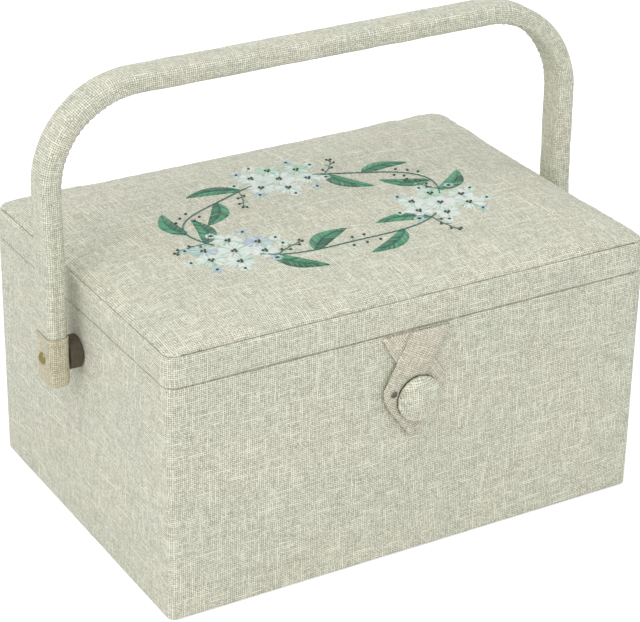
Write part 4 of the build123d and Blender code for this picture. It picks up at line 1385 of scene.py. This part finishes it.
# %% The pocket's elastic
elastic_size = (elastic_high.x - elastic_low.x, elastic_high.y - elastic_low.y)
elastic = padded_panel("elastic_frill", (elastic_low.x, elastic_low.y, elastic_high.z - slack), (1, 0, 0),
                       (0, 1, 0), (0, 0, -1), elastic_size, 1.2 * mm, 1.5 * mm,
                       lambda u, v: 0.35 * mm * np.sin(4 * math.pi * gathers * u / elastic_size[0]),
                       step=0.8 * mm)
settle(elastic, ribbon_satin, "lid", "satin", "pocket_elastic")

# %% [markdown]
# The pincushion is a velvet pillow sewn to the lid. It starts as a low dome with round corners, and the same
# cloth simulation as on the lid swells it, so that its sides pull in a little between the corners.

# %% Pincushion
pin_low, pin_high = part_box("pincushion")
pin_soft, pin_corner = 15 * mm, 12 * mm


def pin_pillow():
    """A closed pillow: a flat back and a low dome with round corners."""
    half_w, half_d = (pin_high.x - pin_low.x) / 2 - 1 * mm, (pin_high.y - pin_low.y) / 2 - 1 * mm
    middle = (pin_high + pin_low) / 2
    count = 36
    face, back, flat = [], [], []
    for i in range(count + 1):
        for j in range(count + 1):
            x, y = (-math.cos(math.pi * k / count) * half for k, half in ((i, half_w), (j, half_d)))
            px, py, _ = rounded_square(x, y, half_w, half_d, pin_corner)
            inner = min(half_w - abs(x), half_d - abs(y))
            rise = (pin_high.z - pin_low.z - 1.5 * mm) * float(soft_edge(inner, pin_soft))
            face.append((middle.x + px, middle.y + py, pin_high.z - slack - 0.2 * mm - rise))
            back.append((middle.x + px, middle.y + py, pin_high.z - slack))
            flat.append((px, py))
    n = count + 1
    cells = [(i * n + j, i * n + j + 1, (i + 1) * n + j + 1, (i + 1) * n + j)
             for i in range(count) for j in range(count)]
    rim = [*range(0, n * n, n), *[count * n + j for j in range(1, n)],
           *[i * n + count for i in range(count - 1, -1, -1)], *range(count - 1, 0, -1)]
    faces = [*cells, *[tuple(k + n * n for k in reversed(c)) for c in cells]]
    faces += [(a, b, b + n * n, a + n * n) for a, b in zip(rim, [*rim[1:], rim[0]])]
    return tidy_mesh(cloth_object("pin_pillow", [*face, *back], faces, flat + flat), join=0.000002)


pin_velvet_piece = pin_pillow()
farthest = swell(pin_velvet_piece, lambda p: p[2] > pin_high.z - 0.5 * mm, 1.0 * mm)
print("pincushion swelled by up to %.2f mm before the cap" % (farthest / mm))
finish_panel(pin_velvet_piece, "lid", "pincushion", pin_velvet, "velvet")

# %% [markdown]
# The lid has no metal hinge. A strip of linen is glued to the back wall, bulges a little over the joint and
# is glued to the lid. It bends when the lid opens. Here it is one piece, whose bulge runs from just below the
# hinge's axis to just above it.

# %% Cloth hinge
flap_low, flap_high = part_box("hinge_cloth_lower")[0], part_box("hinge_cloth_upper")[1]
hinge = next(j for j in frame["joints"] if j["name"] == "lid_hinge")
hinge_spot = Vector(hinge["pos_m"])
hinge_thick = 0.7 * mm
on_wall, on_lid = body_high.y + hinge_thick / 2 + slack, band_high.y + hinge_thick / 2
wall_end, lid_start = (on_wall, hinge_spot.z - 1.9 * mm), (on_lid, hinge_spot.z + 2.6 * mm)
strip_foot, strip_head = (on_wall, flap_low.z), (on_lid, flap_high.z - 0.2 * mm)
strip_bulge = [(on_wall + 0.35 * mm, hinge_spot.z - 1.1 * mm), (hinge_spot.y, hinge_spot.z - 0.4 * mm),
               (hinge_spot.y + 0.2 * mm, hinge_spot.z + 0.3 * mm), (hinge_spot.y, hinge_spot.z + 1.0 * mm),
               (on_lid + 0.15 * mm, hinge_spot.z + 1.8 * mm)]
strip_line = [strip_foot, *climb(strip_foot, wall_end, 3 * mm), wall_end, *strip_bulge,
              lid_start, *climb(lid_start, strip_head, 3 * mm), strip_head]
xs = np.linspace(flap_low.x, flap_high.x, 90)
strip_points = np.array([[(x, y, z) for y, z in strip_line] for x in xs])
strip_down = np.r_[0, np.cumsum([math.dist(a, b) for a, b in zip(strip_line, strip_line[1:])])]
strip_cloth = np.stack(np.meshgrid(xs, strip_down, indexing="ij"), axis=-1)
hinge_linen = thicken(grid_object("hinge_linen", strip_points, strip_cloth), hinge_thick)
tidy_mesh(hinge_linen)
dress(hinge_linen, box_linen)
flat_size(hinge_linen)
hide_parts("hinge_cloth_lower", "hinge_cloth_upper")
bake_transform(hinge_linen)
tell(hinge_linen)

# %% [markdown]
# Two ribbons keep the lid from falling over backwards. With the lid closed a real ribbon lies folded between
# the tray and the wall, and with the lid open it is straight. Here it is a bow, made in one shape. The bow is
# worked out backwards: each point of the straight ribbon is turned back round the hinge by its share of the
# opening. A simulation could fold it, but it would have to run again for every angle of the lid.

# %% Ribbons that stop the lid
open_angle = math.radians(92)
stay_half = 3.5 * mm
stay_run, stay_thick = 146 * mm, 0.3 * mm


def ribbon_points(x, low, high, anchor_y):
    """The bowed ribbon, worked out from the straight one."""
    near = Vector((hinge_spot.y - anchor_y, low - hinge_spot.z))
    far = Vector((hinge_spot.y - anchor_y, high - hinge_spot.z))
    first, last = math.atan2(near.y, near.x), math.atan2(far.y, far.x) + open_angle
    middle = (first + last) / 2
    straight = near.length * math.cos(middle - first)
    steps, rails = 48, 5
    points = np.zeros((steps + 1, rails, 3))
    for i in range(steps + 1):
        height = low + (high - low) * i / steps
        turned = open_angle * soft_step(i / steps)
        for j in range(rails):
            line = straight + stay_half * (2 * j / (rails - 1) - 1)
            reach = line
            # The reach depends on its own angle, so a few rounds bring the two together.
            for _ in range(12):
                angle = math.asin((height - hinge_spot.z) / reach)
                reach = line / math.cos(angle + turned - middle)
            points[i, j] = (x, hinge_spot.y - reach * math.cos(angle), height)
    return points


for side in ("left", "right"):
    stay_low, stay_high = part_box(f"stay_{side}")
    x = (stay_low.x + stay_high.x) / 2
    low, high = stay_low.z + stay_half, stay_high.z - stay_half
    points = ribbon_points(x, low, high, stay_low.y)
    runs = np.linspace(0, stay_run, points.shape[0])
    flat = np.stack(np.meshgrid(runs, np.linspace(0, 2 * stay_half, points.shape[1]), indexing="ij"), axis=-1)
    ribbon = thicken(grid_object(f"ribbon_{side}", points, flat[..., ::-1]), stay_thick)
    dress(tidy_mesh(ribbon), ribbon_satin)
    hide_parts(f"stay_{side}")
    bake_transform(ribbon)
    tell(ribbon)

# %% [markdown]
# The embroidery is silk on linen. Each stitch is a short bundle of threads that comes up at one place and
# goes down at another. A picture on the cloth would be quick, but it would lie flat and need a file. So a
# stitch is modelled as a tapered tube that dives into the cloth at both ends. A motif is a loop that places
# stitches: side by side for a petal, slanting from the middle line for a leaf, one after the other for a
# stem. Ray casts straight down find the height of the padded top under each stitch. All stitches of one
# thread colour make one piece.

# %% Stitches
pad_tree = BVHTree.FromObject(pad_linen, bpy.context.evaluated_depsgraph_get())
silk = {name: ([], [], []) for name in ("white_petals", "blue_petals", "mint_petals", "deep_leaves",
                                        "bright_leaves", "teal_stems", "green_knots")}
dice = random.Random(7)
stitch_wide = 0.95 * mm
stitch_high = 0.28 * mm
dive = 0.12 * mm
print("silk threads:", ", ".join(silk))


def on_pad(x, y):
    """Height of the padded top under a place."""
    hit = pad_tree.ray_cast(Vector((x, y, crown_top + 20 * mm)), Vector((0, 0, -1)))[0]
    return hit.z


def add_rings(colour, rings, around, run):
    """Adds a closed tube of rings to a thread colour."""
    points, faces, cloth = silk[colour]
    first = len(points)
    for k, ring in enumerate(rings):
        points.extend(ring)
        cloth.extend((s / around * 2 * stitch_wide, run * k / (len(rings) - 1)) for s in range(around))
    for k in range(len(rings) - 1):
        for s in range(around):
            a, b = first + k * around + s, first + k * around + (s + 1) % around
            faces.append((a, b, b + around, a + around))
    faces.append(tuple(first + s for s in reversed(range(around))))
    faces.append(tuple(first + (len(rings) - 1) * around + s for s in range(around)))


def stitch(colour, start, end, wide=stitch_wide, high=stitch_high):
    """One stitch from one place to another."""
    (ax, ay), (bx, by) = start, end
    length = math.hypot(bx - ax, by - ay)
    side_x, side_y = (ay - by) / length, (bx - ax) / length
    around, rings = 6, []
    for share in (0.0, 0.08, 0.3, 0.7, 0.92, 1.0):
        x, y = ax + (bx - ax) * share, ay + (by - ay) * share
        swell_now = math.sin(math.pi * (0.12 + 0.76 * share)) ** 0.6
        z = on_pad(x, y) - dive + high * math.sin(math.pi * share) ** 0.5
        half = wide / 2 * swell_now
        turns = (2 * math.pi * s / around for s in range(around))
        rings.append([(x + side_x * half * math.cos(t), y + side_y * half * math.cos(t),
                       z + 0.55 * half * math.sin(t)) for t in turns])
    add_rings(colour, rings, around, length)


def knot(colour, place, size=1.0 * mm):
    """A knot: the thread wound once round the needle, a small ring with a dent."""
    points, faces, cloth = silk[colour]
    first, around, section = len(points), 10, 6
    x, y = place
    z = on_pad(x, y)
    for a in range(around):
        turn = 2 * math.pi * a / around
        for b in range(section):
            tilt = 2 * math.pi * b / section
            reach = size * (0.52 + 0.48 * math.cos(tilt))
            points.append((x + reach * math.cos(turn), y + reach * math.sin(turn),
                           z + size * (0.38 + 0.5 * math.sin(tilt))))
            cloth.append((b * 0.3 * mm, a * 0.4 * mm))
            faces.append((first + a * section + b, first + (a + 1) % around * section + b,
                          first + (a + 1) % around * section + (b + 1) % section,
                          first + a * section + (b + 1) % section))


# %% Petals and blossoms
def turned(place, angle, forward, sideways):
    """A place forward and sideways from another, seen in a direction."""
    return (place[0] + forward * math.cos(angle) - sideways * math.sin(angle),
            place[1] + forward * math.sin(angle) + sideways * math.cos(angle))


def petal(middle, angle, length, width, colours):
    """A petal of stitches side by side, long in the middle and with a small notch at the tip."""
    count = max(5, round(width / (0.72 * mm)))
    for k in range(count):
        across = 2 * (k + 0.5) / count - 1
        notch = 1 - 0.07 * math.exp(-(across / 0.2) ** 2)
        reach = length * (0.50 + 0.50 * math.sqrt(1 - across**2)) * notch
        begin = length * (0.16 + 0.10 * dice.random())
        start = turned(middle, angle, begin, across * width * 0.14)
        end = turned(middle, angle, reach * (0.96 + 0.06 * dice.random()), across * width / 2)
        stitch(dice.choice(colours), start, end)


def blossom(middle, radius, colours, turn=0.0):
    """Five petals and a few knots in the middle."""
    for k in range(5):
        angle = turn + 2 * math.pi * k / 5 + dice.uniform(-0.08, 0.08)
        petal(middle, angle, radius * dice.uniform(0.92, 1.06), radius * 0.98, colours)
    large = radius > 8 * mm
    for k in range(3 if large else 1):
        knot("green_knots", turned(middle, turn + 2.1 * k, 1.3 * mm if large else 0.0, 0.0), 0.9 * mm)


# %% Leaves, stems and sprigs
def leaf(base, angle, length, width, bend=0.12):
    """A slender leaf: slanting stitches from its middle line to both edges, and a line of stem over them."""
    def spine(share):
        """A place on the middle line."""
        return turned(base, angle, length * share, bend * length * math.sin(math.pi * share))

    count = round(length / (0.78 * mm))
    for side, colours in ((1, ("bright_leaves", "bright_leaves", "deep_leaves")),
                          (-1, ("deep_leaves", "deep_leaves", "bright_leaves"))):
        for k in range(count):
            share = 0.03 + 0.86 * (k + 0.3 * dice.random()) / count
            tip = min(1.0, share + 0.13)
            half = width / 2 * math.sin(math.pi * tip**0.85) ** 0.8
            edge = turned(spine(tip), angle, 0.0, side * (half + 0.2 * mm * dice.random() + 0.25 * mm))
            stitch(dice.choice(colours), spine(share), edge, 0.9 * mm)
    line([spine(0.02 + 0.94 * k / 12) for k in range(13)], "teal_stems", 0.6 * mm, 0.5 * mm)


def line(places, colour="teal_stems", wide=0.9 * mm, high=0.6 * mm):
    """Stem stitches one after the other along a row of places, each a little over the last."""
    for (ax, ay), (bx, by) in zip(places, places[1:]):
        back = 0.25
        stitch(colour, (ax - (bx - ax) * back, ay - (by - ay) * back), (bx, by), wide, high)


def sprig(base, angle, length, side=1):
    """A curved twig with a knot at the end of each of its short arms."""
    def spine(share):
        """A place on the middle line."""
        return turned(base, angle, length * share, side * 0.22 * length * share**2)

    line([spine(k / 6) for k in range(7)], wide=0.7 * mm, high=0.5 * mm)
    for k in range(1, 6):
        arm = angle + side * 0.4 + (1 if k % 2 else -1) * 0.75
        tip = turned(spine(k / 5.5), arm, 3.4 * mm, 0.0)
        line([spine(k / 5.5), tip], wide=0.6 * mm, high=0.45 * mm)
        knot("green_knots" if k % 3 else "mint_petals", tip, 0.95 * mm)
    knot("green_knots", spine(1.03), 1.0 * mm)


# %% [markdown]
# The design is an open oval garland, a form that needlework has used for ages. A stem runs round the oval. On
# it sit three bunches of five-petal blossoms, and leaves and sprigs lean out of the stem between them.

# %% The garland
oval_x, oval_y = 84 * mm, 50 * mm
oval_middle = (-2 * mm, -3 * mm)
pale = ("white_petals", "white_petals", "white_petals", "mint_petals")
cool = ("white_petals", "blue_petals", "blue_petals", "mint_petals")
fresh = ("mint_petals", "mint_petals", "white_petals")


def on_oval(degrees, out=0.0):
    """A place on the garland's wavy oval."""
    turn = math.radians(degrees)
    wave = 2.5 * mm * math.sin(5 * turn)
    return (oval_middle[0] + (oval_x + wave + out) * math.cos(turn),
            oval_middle[1] + (oval_y + wave + out) * math.sin(turn))


def along_oval(degrees):
    """The direction in which the stem runs."""
    (ax, ay), (bx, by) = on_oval(degrees - 2), on_oval(degrees + 2)
    return math.atan2(by - ay, bx - ax)


bunches = (88, 212, 330)
bunch_span = 14
for start, end in zip(bunches, (*bunches[1:], bunches[0] + 360)):
    line([on_oval(a) for a in np.linspace(start + bunch_span, end - bunch_span, 28)], wide=1.1 * mm)
for start in bunches:
    for k, lean in ((-50, 0.5), (-26, -0.6), (26, -0.55), (50, 0.5)):
        base = on_oval(start + k * 0.75)
        forward = along_oval(start + k) + (0 if k > 0 else math.pi)
        leaf(base, forward + lean, dice.uniform(32, 40) * mm, dice.uniform(10, 12.5) * mm,
             bend=math.copysign(0.12, lean))
    for k, out in ((-20, 1), (22, -1)):
        base = on_oval(start + k)
        sprig(base, along_oval(start + k) + math.copysign(1.05, -out) * (1 if k > 0 else 2.0), 22 * mm, out)
for start in bunches:
    middle = on_oval(start)
    ring = 15.5 * mm
    for k in range(6):
        turn = math.radians(60 * k + 25) + dice.uniform(-0.15, 0.15)
        place = (middle[0] + ring * 1.22 * math.cos(turn), middle[1] + ring * 0.92 * math.sin(turn))
        blossom(place, dice.uniform(8.6, 10.2) * mm, dice.choice((pale, cool, pale, fresh)), dice.random())
    blossom(middle, 11.5 * mm, pale, dice.random())
    for k in range(9):
        turn = 2 * math.pi * (k + 0.5) / 9 + dice.uniform(-0.2, 0.2)
        place = (middle[0] + ring * 1.95 * math.cos(turn), middle[1] + ring * 1.55 * math.sin(turn))
        blossom(place, dice.uniform(3.6, 4.6) * mm, cool if k % 2 else pale, dice.random())
for start in (150, 272, 28):
    for k in range(5):
        knot("green_knots", on_oval(start + 3 * k - 6, 5 * mm * (-1) ** k), 1.0 * mm)
print("garland:", sum(len(faces) for _, faces, _ in silk.values()), "faces of thread")

# %% [markdown]
# Silk floss shines like satin, because its filaments lie side by side. So the satin group serves again, with
# a finer thread, and each colour gets a darker shade of itself: painted shade for the valleys between the
# filaments, from which the colour runs to painted sheen in streaks.

# %% Silk
# Each thread colour with its darker painted shade.
silk_colours = {"white_petals": ((252, 252, 248), (208, 216, 211)),
                "blue_petals": ((206, 214, 226), (158, 172, 192)),
                "mint_petals": ((196, 222, 200), (150, 192, 164)),
                "deep_leaves": ((20, 112, 72), (6, 70, 44)),
                "bright_leaves": ((104, 182, 138), (44, 138, 96)),
                "teal_stems": ((44, 138, 118), (22, 96, 84)),
                "green_knots": ((40, 92, 66), (18, 56, 40))}
for name, (points, faces, cloth) in silk.items():
    base, shade = (srgb(*colour) for colour in silk_colours[name])
    floss = group_material(f"silk_{name}", satin_weave, flat_place, 0.06 * mm, {"Sheen Weight": 0.15},
                           Thread=0.22 * mm, Base=base, Shade=shade)
    settle(cloth_object(f"silk_{name}", points, faces, cloth), floss, "lid", "embroidery")

# %% [markdown]
# The camera stands where the picture of the real box was taken from. Its angle, distance and lens were fitted
# to the straight edges of the box, so that the two pictures can be laid over each other.

# %% Camera at the picture's angle
turn, tilt, roll = math.radians(-30.654), math.radians(26.678), math.radians(1.013)
camera_distance = 1.445668
look_right, look_up = 0.002308, 0.107807
focal_px, picture_width = 2357.8, 640
direction = Vector((-math.sin(turn) * math.cos(tilt), math.cos(turn) * math.cos(tilt), -math.sin(tilt)))
right = Vector((math.cos(turn), math.sin(turn), 0))
target = right * look_right + Vector((0, 0, look_up))
lens = bpy.data.cameras.new("camera")
lens.sensor_width = 36
lens.lens = focal_px * lens.sensor_width / picture_width
lens.clip_start, lens.clip_end = 0.05, 50
camera = bpy.data.objects.new("camera", lens)
bpy.context.scene.collection.objects.link(camera)
camera.location = target - direction * camera_distance
upright = direction.to_track_quat("-Z", "Y")
camera.rotation_mode = "QUATERNION"
camera.rotation_quaternion = upright @ Quaternion((0, 0, 1), roll)
bpy.context.scene.camera = camera
print("camera at", tuple(round(v / mm) for v in camera.location), "mm, lens %.1f mm" % lens.lens)

# %% [markdown]
# The real picture has a white ground and hardly any shadow. A white floor alone would turn grey under soft
# light, so it also glows a little, but only for the camera, and the box isn't lit by that glow. A big soft
# lamp stands above the front left, a weak one in front, and a pale world fills the shadows.

# %% Floor
floor_mesh = bpy.data.meshes.new("floor")
reach = 6.0
floor_mesh.from_pydata([(-reach, -reach, 0), (reach, -reach, 0), (reach, reach, 0), (-reach, reach, 0)], [],
                       [(0, 1, 2, 3)])
floor = bpy.data.objects.new("floor", floor_mesh)
floor.location.z = -0.0004
bpy.context.scene.collection.objects.link(floor)
floor_finish = {"Base Color": (0.93, 0.93, 0.93, 1), "Roughness": 0.9, "Specular IOR Level": 0.1,
                "Emission Color": (1, 1, 1, 1)}
floor_paint, tree, shader = new_material("floor_paint", floor_finish)
glow = tree.nodes.new("ShaderNodeLightPath")
lifted = value_node(tree, "MULTIPLY", glow.outputs["Is Camera Ray"], 0.35)
tree.links.new(lifted, shader.inputs["Emission Strength"])
dress(floor, floor_paint)
floor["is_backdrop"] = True
print("floor: %.0f m wide" % (2 * reach))


# %% Lamps
def lamp(name, place, aim, size, power):
    """A square lamp that looks at a place."""
    light = bpy.data.lights.new(name, "AREA")
    light.size = size
    light.energy = power
    obj = bpy.data.objects.new(name, light)
    obj.location = place
    obj.rotation_mode = "QUATERNION"
    obj.rotation_quaternion = (Vector(aim) - Vector(place)).to_track_quat("-Z", "Y")
    bpy.context.scene.collection.objects.link(obj)
    return obj


lamps = (lamp("main_lamp", (-1.2, -0.9, 2.1), (0, 0, 0.1), 2.2, 30),
         lamp("front_lamp", (0.7, -2.2, 1.2), (0, 0, 0.1), 1.6, 1.5))
for obj in lamps:
    print(obj.name, "stands %.1f m from the box" % obj.location.length)

# %% World
world = bpy.data.worlds.new("world")
bpy.context.scene.world = world
world.use_nodes = True
tree = world.node_tree
background = tree.nodes["Background"]
background.inputs["Strength"].default_value = 1.0
ray = tree.nodes.new("ShaderNodeLightPath")
mirrored = value_node(tree, "MAXIMUM", ray.outputs["Is Glossy Ray"], ray.outputs["Is Transmission Ray"])
shown = value_node(tree, "MAXIMUM", ray.outputs["Is Camera Ray"], mirrored)
tree.links.new(mix_node(tree, shown, (0.80, 0.81, 0.82), (1.0, 1.0, 1.0)), background.inputs["Color"])
bpy.context.scene.view_settings.view_transform = "Standard"

# %% [markdown]
# At the end the size of the dressed box is compared with that of the measured one. Cloth may stand out a
# little, and more than that would be a fault of this file.

# %% Sizes of the dressed box
now_low, now_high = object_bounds()
grown = [round((b - a) / mm, 2) for a, b in zip((*now_low, *cad_high), (*cad_low, *now_high))]
print("the dressed box stands out of the measured one by", grown, "mm")
